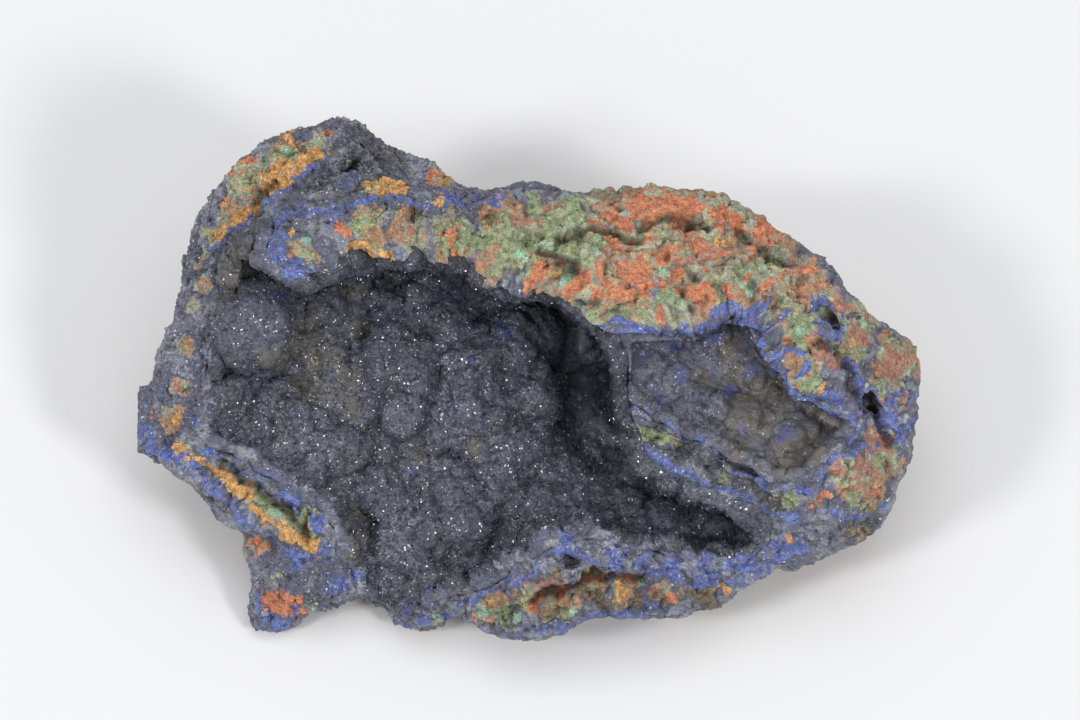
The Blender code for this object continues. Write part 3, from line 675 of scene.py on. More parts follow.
def distance_to_points(points, others):
    """How far each point is from the nearest of some other points, in mm."""
    tree = KDTree(len(others))
    for index, other in enumerate(others):
        tree.insert(other, index)
    tree.balance()
    return np.array([tree.find(point)[2] for point in points])


def ore_zones():
    """Each ore vertex's distance to the linings, and how far behind the open rock it lies on a wall."""
    points, _ = places(ore)
    to_lining = np.minimum.reduce([distance_to(node, points) for node in CRUSTS])
    on_wall = to_lining < BY_LINING
    behind = np.zeros(len(points))
    behind[on_wall] = distance_to_points(points[on_wall], points[~on_wall])
    return points, to_lining, behind


ore = finer_copy("ore_matrix", "ore_rock", ORE_SPACING, 4, ORE_SWELL)
points, to_lining, behind = ore_zones()
select_faces(ore, per_face(ore, behind > HIDDEN_BELOW))
bpy.ops.mesh.decimate(ratio=HIDDEN_DETAIL)
bpy.ops.object.mode_set(mode="OBJECT")
points, to_lining, behind = ore_zones()
_, normals = places(ore)
seen = (behind < FINE_ABOVE) & (drawn(normals)[:, 2] > FINE_FACING)
select_faces(ore, per_face(ore, seen))
bpy.ops.mesh.subdivide(number_cuts=1, smoothness=0.0)
bpy.ops.object.mode_set(mode="OBJECT")
print("ore:", len(ore.data.vertices), "points,", triangle_count(ore), "triangles")

# %% Broken relief, in mm
CHIP_SIZE = 3.6
CHIP_HEIGHT = 0.9
CHIP_STEP = 0.7  # how much higher or lower one chip may stand than the next
GRAIN_SIZE = 1.35
GRAIN_HEIGHT = 0.75
GRAIN_STEP = 0.55
FINE_GRAIN_SIZE = 0.7
FINE_GRAIN_HEIGHT = 0.4
CRAG_SIZE = 2.4
CRAG_HEIGHT = 0.4
BED_HEIGHT = 0.5
PIT_SIZE = 2.1


def broken_relief(points, normals, depth):
    """The height of broken ore at each point in mm, and what its colours need: pits, chips and grains.

    Chips and grains are domes cut off flat, which step up and down by chance. Fine grains and sharp
    crags lie on them. Every mineral edge follows the grains, so each grain has a number of its own.
    """
    bent = warped(points, 1.6, 41)
    chips, chip_pick = domes(bent, CHIP_SIZE, 33)
    grains, grain_pick = domes(bent, GRAIN_SIZE, 31)
    fine_grains, fine_pick = domes(points, FINE_GRAIN_SIZE, 32)
    crags = 1 - 2 * np.abs(soft_noise(points * (0.8, 1.0, 1.0), CRAG_SIZE, 34))
    pits = smoothstep(soft_noise(points, PIT_SIZE, 35) + 0.5 * soft_noise(points, 1.1, 37), 0.62, 0.95)
    front = facing_front(normals, -0.3, 0.2)
    relief = CHIP_HEIGHT * (np.minimum(chips, 0.6) - 0.45) + CHIP_STEP * (chip_pick - 0.5)
    relief += CRAG_HEIGHT * crags
    relief += GRAIN_HEIGHT * (np.minimum(grains, 0.6) - 0.4) + GRAIN_STEP * (grain_pick - 0.5)
    relief += FINE_GRAIN_HEIGHT * (fine_grains - 0.45) + BED_HEIGHT * strata(points, depth, 36) * front
    ore_pick = np.modf(grain_pick + 0.3 * (fine_pick > 0.72) * fine_pick)[0]
    hollows = 0.35 * (1 - smoothstep(grains, 0.05, 0.3))
    return relief, pits, hollows, ore_pick, np.modf(5.7 * fine_pick + grain_pick)[0]


# %% Shape the ore
EDGE_HEIGHT = 0.35  # how far an azurite lip stands out, and how deep pits and cracks go, in mm
PIT_DEPTH = 0.5
CRACK_DEPTH = 0.7

points, to_lining, behind = ore_zones()
_, normals = places(ore)
open_face = smoothstep(to_lining, 0.2, 0.6)
bare_wall = (1 - open_face) * (1 - smoothstep(behind, LIP_DEPTH - 1.5, LIP_DEPTH))
off_table = smoothstep(points[:, 2] + DRAWING_ORIGIN[2], 0.15, 1.2)  # 0 on the flat rest face
u, v = wavering(points)
front = facing_front(normals, -0.3, 0.2)
relief, pits, hollows, ore_pick, pick = broken_relief(points, normals, to_lining)
shares = minerals_at(points, normals, to_lining, ore_pick)
smooth_faces = np.clip(0.8 * shares["brick"] + near_spots(u, v, CHIP_FACES), 0, 1)
rough = (1 - 0.8 * smooth_faces) * (1 - 0.35 * shares["sparkle"])
cracks = near_lines(u, v, CRACKS, CRACK_WIDTH) * front
cracks = np.maximum(cracks, near_spots(u, v, HOLES) * front)
lips = near_lines(u, v, AZURITE_EDGES, EDGE_WIDTH) * front
pits *= rough
relief = relief * rough + EDGE_HEIGHT * lips - PIT_DEPTH * pits - CRACK_DEPTH * cracks
push(ore, relief * (open_face + 0.7 * bare_wall) * off_table - ORE_SWELL * open_face * off_table)
print("relief: from", round(relief.min(), 1), "to", round(relief.max(), 1), "mm")

# %% [markdown]
# ## The overhanging edges
# At the top of the large hollow, and round the top and the right of the bowl, the ore broke off past the
# lining and hangs over it like the eaves of a roof, with a dark gap below. Pushing points along their
# normals can't make an edge that moves sideways, and a separate strip of rock would show a seam. So the
# ore's own edge is carried towards the middle of the hollow, most at the lip and less away from it. The
# lining below is let down further on, so that the gap opens.

# %% Carry the ore's edges over the hollows
OVERHANGS = {  # node: how far the ore's edge stands out over the lining, how far the lining sinks below
    # it, the point u, v that the edge leans towards, and where it does, as u, v, radius, all in mm
    "vug_crust": (2.3, 2.0, (-10.0, -4.0), [
        (-28, 19, 4), (-20, 19, 4), (-12, 18.5, 4), (-5, 16.5, 4), (1, 14, 4), (6, 12, 4), (10, 9.5, 3),
    ]),
    "bowl_crust": (2.0, 1.5, (28.0, -3.0), [
        (16, 8, 2.2), (19, 8, 2.5), (23, 8, 2.5), (27, 9, 2.5), (31, 9, 2.5), (34, 7.5, 2.5), (35, 4.5, 2.2),
        (37, 2.5, 2.2), (38.5, -0.5, 2.2), (40.5, -3.5, 2.2), (43.5, -5, 2),
    ]),
}
open_rock = places(ore)[0][open_face > 0.5]
near_lip = (1 - smoothstep(to_lining, 0.4, 3.4)) * (1 - smoothstep(behind, 0.5, 1.9))
near_lip *= np.where(to_lining > BY_LINING, front, 1.0)
for node, (reach, _, middle, spots) in OVERHANGS.items():
    inward = np.column_stack((middle[0] - u, middle[1] - v, np.zeros(len(u))))
    inward *= (reach * near_lip * near_spots(u, v, spots) / np.linalg.norm(inward, axis=1))[:, None]
    carry(ore, inward)
    print("over the", node, "by up to", round(np.linalg.norm(inward, axis=1).max(), 1), "mm")

# %% Paint the ore
# The material lays each mineral where its number is high. The lip round the bowl is bare azurite. Shade is
# painted into pits, cracks and the low places between grains, and over a few low ledges. Ground and pick are
# random numbers, the same all over a grain, which choose its tint and its lightness.
bowl_lip = near_spots(u, v, BOWL_EDGE) * (1 - smoothstep(to_lining, 0.4, 1.1))
shares["azurite"] = np.maximum(shares["azurite"], bowl_lip)
for mineral, share in shares.items():
    paint(ore, mineral, share)
painted_shade = 0.4 * near_spots(u, v, SHADED_LEDGES) * front
paint(ore, "hollowed", np.clip(0.6 * pits + 0.8 * cracks + hollows + painted_shade, 0, 1))
paint(ore, "ground", ore_pick)
paint(ore, "pick", pick)
paint(ore, "open", open_face)
paint(ore, "wall", (1 - open_face) * smoothstep(behind, 0.4, 1.4))
print("painted on the ore:", ", ".join(shares))

# %% [markdown]
# ## The azurite linings
# Azurite grew from the walls of each hollow into the open space. It spread from many points at once, so
# the lining is crowded with low round knobs, large ones with smaller ones on them. Balls set side by
# side would show their joins, so each lining starts from its CAD crust. Its hidden side is thinned out
# and let out a little, to close the gap round the rock, and only the side that faces the hollow is
# pushed into knobs. The biggest knobs stand where they do on the specimen, and smaller ones fill the
# gaps. At the mouth the broken edge of the ore closes over the lining, so its lip is roughened and
# coloured as ore, with a wavering edge: broadly on the thick lower left lip, and hardly at all on the
# sharp ridge below the bowl, which is crystal to its very edge.

# %% Knobs, in mm: u, v, radius
KNOBS = {
    "vug_crust": [
        (-39.1, 7.6, 4.9), (-29.5, 10.3, 2.7), (-25.7, 16.2, 3.7), (-19.6, 16.8, 2.8), (-14.9, 14.5, 3.2),
        (-11.3, 16.2, 2.8), (-11.8, 11.4, 2.4), (-5.6, 15.1, 2.4), (-21.0, 10.7, 2.5), (-17.6, 1.4, 4.9),
        (-17.2, -5.4, 3.5), (-3.5, 4.9, 3.9), (1.1, 6.6, 3.4), (-9.2, 2.4, 2.4), (-20.6, -16.5, 3.4),
        (-25.5, -10.6, 3.1), (-26.4, 3.2, 2.7), (-36.5, -3.5, 2.7), (-42.6, -3.9, 3.4), (-7.9, -10, 2.8),
        (-10.2, -16.2, 2.8), (-9.2, -21.6, 3.4), (-17.6, -23.7, 4.2), (-13.1, -30.0, 3.7),
        (-5.2, -26.8, 3.0), (-4.4, -15.4, 3.2), (1.4, -19.7, 3.7), (7.0, -21.9, 3.0), (8.9, -11.3, 2.0),
        (12.8, -18.8, 2.7), (1.8, -2.1, 3.5), (-3.5, -6.5, 2.8), (10.0, 3.8, 2.4), (15.9, -13.1, 2.5),
        (21.6, -20.2, 3.4), (27.5, -21.6, 2.8), (15.9, -24.7, 2.5), (-41.6, 16.2, 2.4), (-36.9, 17.2, 1.7),
        (-33.4, 1.7, 2.1), (-32.0, -6.1, 2.3), (-44.0, 2.4, 2.3), (-23.5, -25.8, 2.5), (-13.7, -14.5, 2.1),
        (-14.4, -20.2, 2.0), (-1.0, -10.3, 2.5), (5.5, -14.2, 2.3), (-30.6, -13.1, 2.4),
        (-35.5, -10.6, 2.1), (30.7, -19.5, 2.0), (19.5, -14.5, 1.7),
    ],
    "bowl_crust": [
        (16.5, 2.7, 1.3), (26.5, 5.6, 1.6), (20.4, 3.8, 1.1), (21.9, 0.0, 1.7), (28.1, -2.4, 1.8),
        (25.4, -2.4, 1.3), (32.0, 0.6, 1.7), (35.7, 1.6, 1.8), (33.6, 4.2, 1.1), (30.7, 7.3, 1.3),
        (30.3, -5.1, 2.4), (26.2, -6.1, 1.0), (36.8, -8.2, 1.9), (39.1, -7.9, 1.4), (37.9, -5.8, 1.3),
        (33.7, -13.1, 2.0), (37.4, -13.8, 1.7), (31.4, -11.8, 1.6), (42.2, -5.5, 1.6), (44.8, -8.2, 1.4),
        (41.3, -2.5, 1.3), (39.6, -11.0, 1.4), (35.1, -2.3, 1.4), (38.5, -2.1, 1.8), (23.0, 5.9, 1.3),
        (18.8, 6.6, 1.1), (18.0, -1.1, 1.3), (19.7, -3.9, 1.1), (23.0, -3.9, 1.3), (23.0, -6.8, 1.1),
        (28.6, -8.9, 1.3), (33.6, -5.4, 1.4),
    ],
    "pocket_crust": [
        (-25.7, 27.1, 1.7), (-22.8, 29.9, 1.4), (-28.5, 25.7, 1.3), (-25.0, 32.0, 1.3), (-21.9, 27.1, 1.3),
        (-27.1, 29.2, 1.1), (-18.6, 25.7, 1.3), (-20.7, 32.0, 1.1),
    ],
}
print("knobs:", {node: len(knobs) for node, knobs in KNOBS.items()})

# %% Stains, painted light and painted shade on the linings, in mm: u, v, radius
STAINS_LIGHT_AND_SHADE = {  # rusty clay, bare blue azurite, painted light that lightens the deep cave, and painted shade below its roof
    "clay": [
        (-42.2, 14.4, 1.7), (-40.0, 16.2, 1.7), (-32.0, 7.3, 1.4), (-30.3, 3.8, 2.0), (-34.1, 3.8, 1.4),
        (-27.8, 0.3, 2.0), (-29.5, -3.2, 1.7), (-25.7, -1.1, 1.4), (-24.7, -4.7, 1.4), (-37.4, 3.8, 1.1),
        (-44.0, 12.3, 1.1), (-32.0, -1.1, 1.4), (-23.3, 6.6, 1.1), (-24.7, 10.9, 1.0), (-36.2, 1.7, 0.8),
        (-6.6, -10.3, 1.0), (-15.1, -11.0, 0.7), (8.9, -14.5, 0.7), (-24.1, -20.2, 1.1),
        (-25.0, -23.0, 1.1), (-25.7, -17.3, 0.8), (31.4, -2.5, 2.3), (30.7, -5.4, 2.3), (33.6, -7.5, 1.4),
        (29.3, -0.4, 1.4), (35.7, -3.2, 2.0), (38.5, -1.1, 1.4), (24.4, -0.4, 1.1), (37.1, -11.0, 1.7),
        (35.0, -12.4, 1.1), (41.3, -6.1, 1.7), (28.6, 3.8, 1.4), (30.0, -8.9, 1.4), (23.0, 8.0, 1.4),
        (39.9, -10.3, 1.4),
    ],
    "bare_blue": [
        (-36.0, 10.9, 0.9), (16.5, 2.8, 0.8), (26.6, 5.6, 1.3), (20.4, 4.1, 0.8), (21.9, 0.0, 1.1),
        (28.1, -2.4, 1.0), (40.7, -13.1, 0.7), (36.7, -8.5, 1.0), (32.0, 0.6, 1.0), (35.7, 1.6, 1.0),
        (30.5, -7.6, 0.6), (-3.8, 4.9, 1.1), (-11.8, 12.3, 0.7), (-16.5, -13.1, 0.6), (-13.4, -30.9, 0.8),
        (-16.4, -33.0, 0.7), (18.8, -3.2, 1.0), (24.4, -8.9, 0.8), (-8.0, 1.7, 0.6), (-25.7, 26.4, 1.1),
        (-24.7, 27.8, 0.8),
    ],
    "cave": [
        (8.9, 4.5, 3.7), (10.3, -1.8, 3.4), (9.2, -6.1, 2.8), (6.8, 10.2, 2.3), (11.1, 7.3, 3.1),
        (4.7, 12.3, 1.4), (12.0, 2.4, 2.5), (11.4, -7.8, 1.7), (8.9, 12.3, 1.7),
    ],
    # painted shade: the strip of wall below the bowl's left lip, darkened as if in the cave's shadow
    "painted_underside_shade": [
        (12.4, 6.0, 1.3), (12.2, 3.5, 1.5), (12.2, 0.8, 1.5), (12.8, -1.8, 1.4), (13.8, -4.0, 1.2),
        (10.4, 7.5, 2.0), (10.4, 4.5, 2.2), (10.4, 1.5, 2.2), (10.6, -1.5, 2.2), (11.4, -4.5, 2.0),
        (12.6, -6.8, 1.6), (12.8, 6.5, 1.8), (12.8, 4.2, 1.8), (12.8, 2.0, 1.8), (12.8, -0.2, 1.8),
        (13.0, -2.4, 1.8), (13.8, -4.6, 1.6), (14.8, -6.6, 1.5),
    ],
}
print("stains:", {stain: len(spots) for stain, spots in STAINS_LIGHT_AND_SHADE.items()})

# %% How each lining is made
LININGS = {  # node: piece, spacing, how far a knob stands out as a share of its radius, how far the rock's
    # own crust reaches over the lip, and the sizes and heights of the crowded smaller knobs, in mm
    "vug_crust": ("vug_lining", 0.36, 0.42, 1.4, ((3.6, 1.1), (1.9, 0.7), (1.0, 0.45))),
    "bowl_crust": ("bowl_lining", 0.29, 0.26, 0.8, ((2.6, 0.45), (1.3, 0.25), (0.7, 0.18))),
    "pocket_crust": ("pocket_lining", 0.27, 0.45, 0.9, ((2.4, 0.9), (1.2, 0.5), (0.7, 0.3))),
}
BROAD_LIPS = [(-46, -8, 3), (-41, -12, 3), (-36, -15, 3), (-31, -19, 3), (-28, -23, 2), (-34, 16, 2)]
BROADENING = 1.3  # how much further the rock's crust reaches there, in mm
NARROW_LIPS = [  # where crystals cover the lip up to its very edge
    (15, -9, 3), (19, -12, 3), (24, -15, 3), (29, -17, 3), (33, -19, 2.5), (13.4, -3.5, 2), (12.8, 0, 2),
    (12.6, 3.5, 2), (12.6, 6.5, 1.6),
]
NARROWING = 1.3
TUCKED_UNDER = 3.0  # how much less the rock's crust reaches below an overhanging edge, in mm
OUTER_SIDE = 0.6  # a lining's points that are nearer to the rock than this are its hidden side, in mm
OUTER_DETAIL = 0.25  # the share of the hidden side's triangles that is kept
LET_OUT = 0.5  # how far the hidden side moves towards the rock, in mm
CLAY_SPREAD = 1.6
NO_OVERHANG = (0, 0, 0, [])

print("linings:", ", ".join(lining[0] for lining in LININGS.values()))


# %% Relief of a lining
FAR_BELOW = 9.0  # mm


def knob_heights(points, knobs, rise, crowd):
    """The height of the knobs at each point, in mm, and 1 in the seams where two of them meet."""
    u, v = wavering(points, broad=(1.7, 3.2, 61, 62), fine=(0.6, 1.2, 63, 64))
    size, height_of_crowd = crowd
    bent = warped(points, 0.5 * size, 67)
    knob, _ = domes(bent, size, 50)
    highest = (knob - 0.3) * height_of_crowd
    second = highest - FAR_BELOW
    for knob_u, knob_v, radius in knobs:
        off_squared = ((u - knob_u) ** 2 + (v - knob_v) ** 2) / radius**2
        own = radius * (rise * np.sqrt(np.clip(1.35 - off_squared, 0, 2)) + 0.1)
        own -= FAR_BELOW * (off_squared > 1.35)
        second = np.maximum(second, np.minimum(own, highest))
        highest = np.maximum(highest, own)
    seam = 0.9 * (1 - smoothstep(highest - second, 0.0, 0.4))
    return highest, np.maximum(seam, 0.6 * (1 - smoothstep(knob, 0.1, 0.35)) * (second < -5))


def crystal_relief(node, points, normals):
    """The knobs of one lining, large and small, with their seams and a random number per knob."""
    _, _, rise, _, (crowd, *small_knobs) = LININGS[node]
    relief, seam = knob_heights(points, KNOBS[node], rise, crowd)
    relief *= 0.35 + 0.65 * facing_front(normals, -0.3, 0.4)
    for layer, (size, height) in enumerate(small_knobs):
        knob, _ = domes(warped(points, 0.5 * size, 71 + layer), size, 51 + layer)
        relief = relief + (knob - 0.4) * height
        seam = np.maximum(seam, 0.35 * (1 - smoothstep(knob, 0.08, 0.34)))
    return relief, seam, domes(points, crowd[0], 50)[1]


def lip_of(node, points, u, v, skin_distance, drop, edge_spots):
    """Where the rock's own crust covers the lining, and where the ore's edge hangs over it."""
    reach = LININGS[node][3]
    overhung = near_spots(u, v, edge_spots) * (1 - smoothstep(skin_distance, 1.2, 2.0 * drop))
    wavy = 0.45 * soft_noise(points, 2.6, 68) + 0.35 * soft_noise(points, 1.0, 69)
    reach = reach + BROADENING * near_spots(u, v, BROAD_LIPS) - wavy - TUCKED_UNDER * overhung
    reach = reach - NARROWING * near_spots(u, v, NARROW_LIPS)
    return 1 - smoothstep(skin_distance - reach, -0.35, 0.35), overhung


# %% Paint and grow the linings
def paint_stains_light_and_shade(lining, node, u, v, overhung):
    """Paints clay and bare blue, painted light in the deep cave, and painted shade below an overhanging
    edge.
    """
    for stain, spots in STAINS_LIGHT_AND_SHADE.items():
        spread = CLAY_SPREAD if stain == "clay" else 1.0
        stained = near_spots(u, v, [(spot_u, spot_v, spread * radius) for spot_u, spot_v, radius in spots])
        # painted shade: the lining below an overhanging edge is darkened, as the shadow under it
        if stain == "painted_underside_shade":
            stained = np.maximum(stained, overhung * (1.0 if node == "vug_crust" else 0.7))
        paint(lining, stain, stained)


def grow_lining(node):
    """The finer lining of one hollow, with its knobs and with what its materials need painted on it."""
    name, spacing = LININGS[node][:2]
    lining = finer_copy(node, name, spacing, 6)
    points, normals = places(lining)
    select_faces(lining, per_face(lining, distance_to("ore_matrix", points) < OUTER_SIDE))
    bpy.ops.mesh.decimate(ratio=OUTER_DETAIL)
    bpy.ops.object.mode_set(mode="OBJECT")
    points, normals = places(lining)
    depth = distance_to("ore_matrix", points)
    inner = smoothstep(depth, OUTER_SIDE, 2 * OUTER_SIDE)
    u, v = wavering(points)
    skin_distance = distance_to_points(points, open_rock)
    _, drop, _, edge_spots = OVERHANGS.get(node, NO_OVERHANG)
    rim, overhung = lip_of(node, points, u, v, skin_distance, drop, edge_spots)
    relief, seam, pick = crystal_relief(node, points, normals)
    broken, _, hollows, ore_pick, fine_pick = broken_relief(points, normals, depth)
    shares = minerals_at(points, normals, depth, ore_pick)
    broken *= 0.75 - 0.35 * shares["sparkle"]
    push(lining, (relief * inner + LET_OUT * (1 - inner)) * (1 - rim) + (broken + 0.15) * rim)
    carry(lining, np.outer(overhung, (0.0, 0.0, -drop)))
    if node == "bowl_crust":
        bare = near_spots(u, v, BOWL_EDGE) * (1.0 + 0.4 * soft_noise(points, 1.5, 29))
        bare *= 1 - smoothstep(skin_distance, 0.7, 1.4)
        shares["azurite"] = np.maximum(shares["azurite"], bare)
    for mineral, share in shares.items():
        paint(lining, mineral, share)
    paint_stains_light_and_shade(lining, node, u, v, overhung)
    paint(lining, "seam", np.clip(seam, 0, 1) * inner * (1 - rim))
    paint(lining, "rim", rim)
    paint(lining, "inner", inner)
    paint(lining, "pick", np.where(rim > 0.5, fine_pick, pick))
    paint(lining, "ground", ore_pick)
    # painted shade in the lip's low places and over low ledges
    paint(lining, "hollowed", (hollows + 0.4 * near_spots(u, v, SHADED_LEDGES)) * rim)
    print(name, len(lining.data.vertices), "points,", triangle_count(lining), "triangles")
    return lining


linings = {node: grow_lining(node) for node in LININGS}

# %% [markdown]
# ## Crystals and granules
# A druse is a skin of tiny crystals that all stand on the wall. Azurite's are short blades with a
# chisel end. One blade is modelled from a cube whose top is pinched to a ridge. The ore's skin carries
# loose round granules instead, and one is modelled as a small lumpy ball. Thousands of copies are then
# set on the pieces by placing those few corners again and again in one mesh, because thousands of
# separate objects would be slow and of no use.

# %% One crystal
deselect()
bpy.ops.mesh.primitive_cube_add(size=1.0, location=(0, 0, 0.5))
blade = bpy.context.object
bpy.ops.object.mode_set(mode="EDIT")
bpy.ops.mesh.select_all(action="DESELECT")
shape = bmesh.from_edit_mesh(blade.data)
for vertex in shape.verts:
    vertex.select = vertex.co.z > 0
shape.select_flush_mode()
bmesh.update_edit_mesh(blade.data)
bpy.ops.transform.resize(value=(0.7, 0.0, 1.0))
bpy.ops.mesh.remove_doubles(threshold=0.001)
bpy.ops.object.mode_set(mode="OBJECT")


def shape_of(obj):
    """The corners and faces of a small finished model, which is then deleted."""
    deselect()
    obj.select_set(True)
    bpy.context.view_layer.objects.active = obj
    bpy.ops.object.transform_apply(location=True, rotation=True, scale=True)
    corners = np.array([vertex.co[:] for vertex in obj.data.vertices])
    faces = [face.vertices[:] for face in obj.data.polygons]
    bpy.data.objects.remove(obj)
    return corners, faces


blade_shape = shape_of(blade)
print("one blade:", len(blade_shape[0]), "corners,", len(blade_shape[1]), "faces")

# %% One granule
deselect()
bpy.ops.mesh.primitive_ico_sphere_add(subdivisions=1, radius=0.5, location=(0, 0, 0.15))
granule = bpy.context.object
bpy.ops.object.mode_set(mode="EDIT")
bpy.ops.mesh.select_all(action="SELECT")
bpy.ops.transform.vertex_random(offset=0.14, seed=4)
bpy.ops.object.mode_set(mode="OBJECT")
granule_shape = shape_of(granule)
print("one granule:", len(granule_shape[0]), "corners,", len(granule_shape[1]), "faces")


# %% Sow copies on a piece
ROOT_DEPTH = 0.15  # how deep a copy is rooted in its ground, in mm
ROOT_SPREAD = 0.06  # how far it may stand off its place
SMALL_ONES = 1.6  # above 1, small copies outnumber large ones


def chosen_places(mesh, chance, count, rng):
    """The centre and the normal of that many faces, drawn by chance."""
    centres = np.empty(len(mesh.polygons) * 3)
    normals = np.empty(len(mesh.polygons) * 3)
    mesh.polygons.foreach_get("center", centres)
    mesh.polygons.foreach_get("normal", normals)
    chosen = rng.choice(len(mesh.polygons), count, p=chance / chance.sum())
    return chosen, centres.reshape(-1, 3)[chosen], normals.reshape(-1, 3)[chosen]


def sow(name, ground, weight, count, sizes, proportions, lean, seed, shape):
    """Sets many copies of one shape on a mesh, more where the weight is higher, in one new mesh."""
    rng = np.random.default_rng(seed)
    corners, faces = shape
    areas = np.empty(len(ground.data.polygons))
    ground.data.polygons.foreach_get("area", areas)
    chosen, centres, normals = chosen_places(ground.data, areas * per_face(ground, weight), count, rng)
    up = normals + lean * rng.normal(size=(count, 3))
    up /= np.linalg.norm(up, axis=1)[:, None]
    side = np.cross(up, rng.normal(size=(count, 3)))
    side /= np.linalg.norm(side, axis=1)[:, None]
    frames = np.stack((side, np.cross(up, side), up), axis=1)
    widths = sizes[0] + (sizes[1] - sizes[0]) * rng.uniform(size=(count, 1)) ** SMALL_ONES
    scales = widths * np.array(proportions) * rng.uniform(0.75, 1.25, size=(count, 3)) * MM
    placed = np.einsum("nck,nkd->ncd", corners[None] * scales[:, None, :], frames)
    placed += (centres - ROOT_DEPTH * MM * up + rng.normal(size=(count, 3)) * ROOT_SPREAD * MM)[:, None, :]
    placed = np.clip(placed, np.array(CAD_BOX[0]), np.array(CAD_BOX[1]))
    new_mesh = bpy.data.meshes.new(name)
    step = len(corners)
    all_faces = [[corner + k * step for corner in face] for k in range(count) for face in faces]
    new_mesh.from_pydata(placed.reshape(-1, 3).tolist(), [], all_faces)
    obj = bpy.data.objects.new(name, new_mesh)
    bpy.context.scene.collection.objects.link(obj)
    for layer in ground.data.attributes:
        if layer.data_type == "FLOAT" and layer.domain == "POINT":
            under = per_face(ground, painted(ground, layer.name))[chosen]
            paint(obj, layer.name, np.repeat(under, step))
    paint(obj, "pick", np.repeat(rng.uniform(size=count), step))
    print(name, count, "copies,", sum(len(face) - 2 for face in faces) * count, "triangles")
    return obj


# %% Crystals on the linings
SOWN = {  # node: piece, count, smallest and largest size in mm, the blade's proportions, and a seed
    "vug_crust": ("vug_crystals", 22000, (0.25, 0.7), (0.9, 0.45, 0.55), 70),
    "bowl_crust": ("bowl_crystals", 5000, (0.2, 0.42), (0.8, 0.5, 0.6), 71),
    "pocket_crust": ("pocket_crystals", 2500, (0.25, 0.7), (0.85, 0.4, 0.8), 72),
}
BLADE_LEAN = 0.4
crystals = {}
for node, (name, count, sizes, proportions, seed) in SOWN.items():
    lining = linings[node]
    earthy_rim = painted(lining, "rim") * (1 - 0.5 * painted(lining, "sparkle"))
    weight = np.maximum(painted(lining, "inner") * (1 - earthy_rim), 1e-6)
    crystals[node] = sow(name, lining, weight, count, sizes, proportions, BLADE_LEAN, seed, blade_shape)

# %% Granules on the ore
GRANULES = 8500
GRANULE_SIZES = (0.35, 0.95)  # mm
GRANULE_PROPORTIONS = (1.0, 0.9, 0.75)
GRANULE_LEAN = 0.3
SKIN = [  # where the ore's skin is a crust of granules: u, v, radius in mm
    (-50, 0, 7), (-49, 9, 6), (-46, 16, 5), (-44, 22, 5), (-40, 27, 5), (-35, 31, 4), (-29, 34, 4),
    (-53, -7, 4), (-23, 34, 4), (-16, 30, 4), (-37, -30, 5), (-30, -29, 4), (-20, 23, 5), (-9, 23, 5),
]
points, normals = places(ore)
u, v = wavering(points)
front = facing_front(normals, -0.3, 0.2)
crusted = near_spots(u, v, SKIN)
patchy = smoothstep(soft_noise(points, 3.0, 63), 0.0, 0.5)
bare = np.clip(painted(ore, "brick") + near_spots(u, v, CHIP_FACES), 0, 1)
weight = painted(ore, "open") * (0.1 + 0.9 * front) * (0.12 * patchy + crusted) * (1 - bare)
weight = weight * smoothstep(points[:, 2] + DRAWING_ORIGIN[2], 1.0, 3.0) + 1e-7
granules = sow(
    "ore_granules", ore, weight, GRANULES, GRANULE_SIZES, GRANULE_PROPORTIONS, GRANULE_LEAN, 80,
    granule_shape)

# %% [markdown]
# ## Ore finish
# Copper ore is no paint: it is crushed, stained and re-grown rock, in which minerals interlock grain by
# grain. A few flat colours with sharp edges would look like a map. So each mineral has two tints that mix
# in patches under a millimetre wide, a mineral's painted share only says where it may show, and fine
# noise breaks its edge. Below them lies a ground that wanders through ten tints, earthy or crystalline,
# and over them lie flecks of six more. Every size below is in millimetres.

# %% Mineral colours
MINERAL_TINTS = {  # laid over each other in this order
    "druse": ("3E424E", "626672"),
    "dun": ("9A8B7A", "6C5F52"),
    "ochre": ("E8B478", "B08650"),
    "malachite": ("A8B490", "7E8C6A"),
    "hematite": ("DA8E6C", "B47054"),
    "brick": ("B88878", "9A6C5E"),
    "verdigris": ("86B89C", "A9CBB2"),
    "azurite": ("7084C4", "4A5CA4"),
}
WORN_AZURITE = "5C638C"
EARTH_TINTS = (
    "8A7664", "A89076", "C0A280", "BEB28C", "A8AC88", "B6BCA0", "9A9E8E", "A09484", "C08E6C", "A07E6C",
)
CRYSTAL_TINTS = (
    "51545F", "5F6475", "6F7594", "63687E", "7C8296", "90949F", "6B6F7E", "595D6C", "676C88", "555967",
)
FLECKS = {  # name of the colour: the tint, the size in mm, and the noise level above which it shows
    "olive": ("A8A47A", 0.55, 0.60), "rust": ("B87850", 0.50, 0.61), "soot": ("544C46", 0.6, 0.62),
    "teal": ("7EAE94", 0.7, 0.64), "red": ("B46E56", 0.9, 0.63), "pale": ("C8C4B4", 0.4, 0.66),
}
HOLLOW_SHADE = "6E645C"
HIDDEN_WALL = "4A4E5E"
EASED = {"interpolation_type": "SMOOTHSTEP"}
OVER = {"data_type": "RGBA"}
DARKENED = {"data_type": "RGBA", "blend_type": "MULTIPLY"}
TIMES_PLUS = {"operation": "MULTIPLY_ADD"}
TIMES = {"operation": "MULTIPLY"}
SCALED = {"operation": "SCALE"}


def per_mm(size):
    """The scale of a pattern whose features are this many mm wide."""
    return 1.0 / (size * MM)


print(len(MINERAL_TINTS), "minerals,", len(FLECKS), "kinds of fleck")


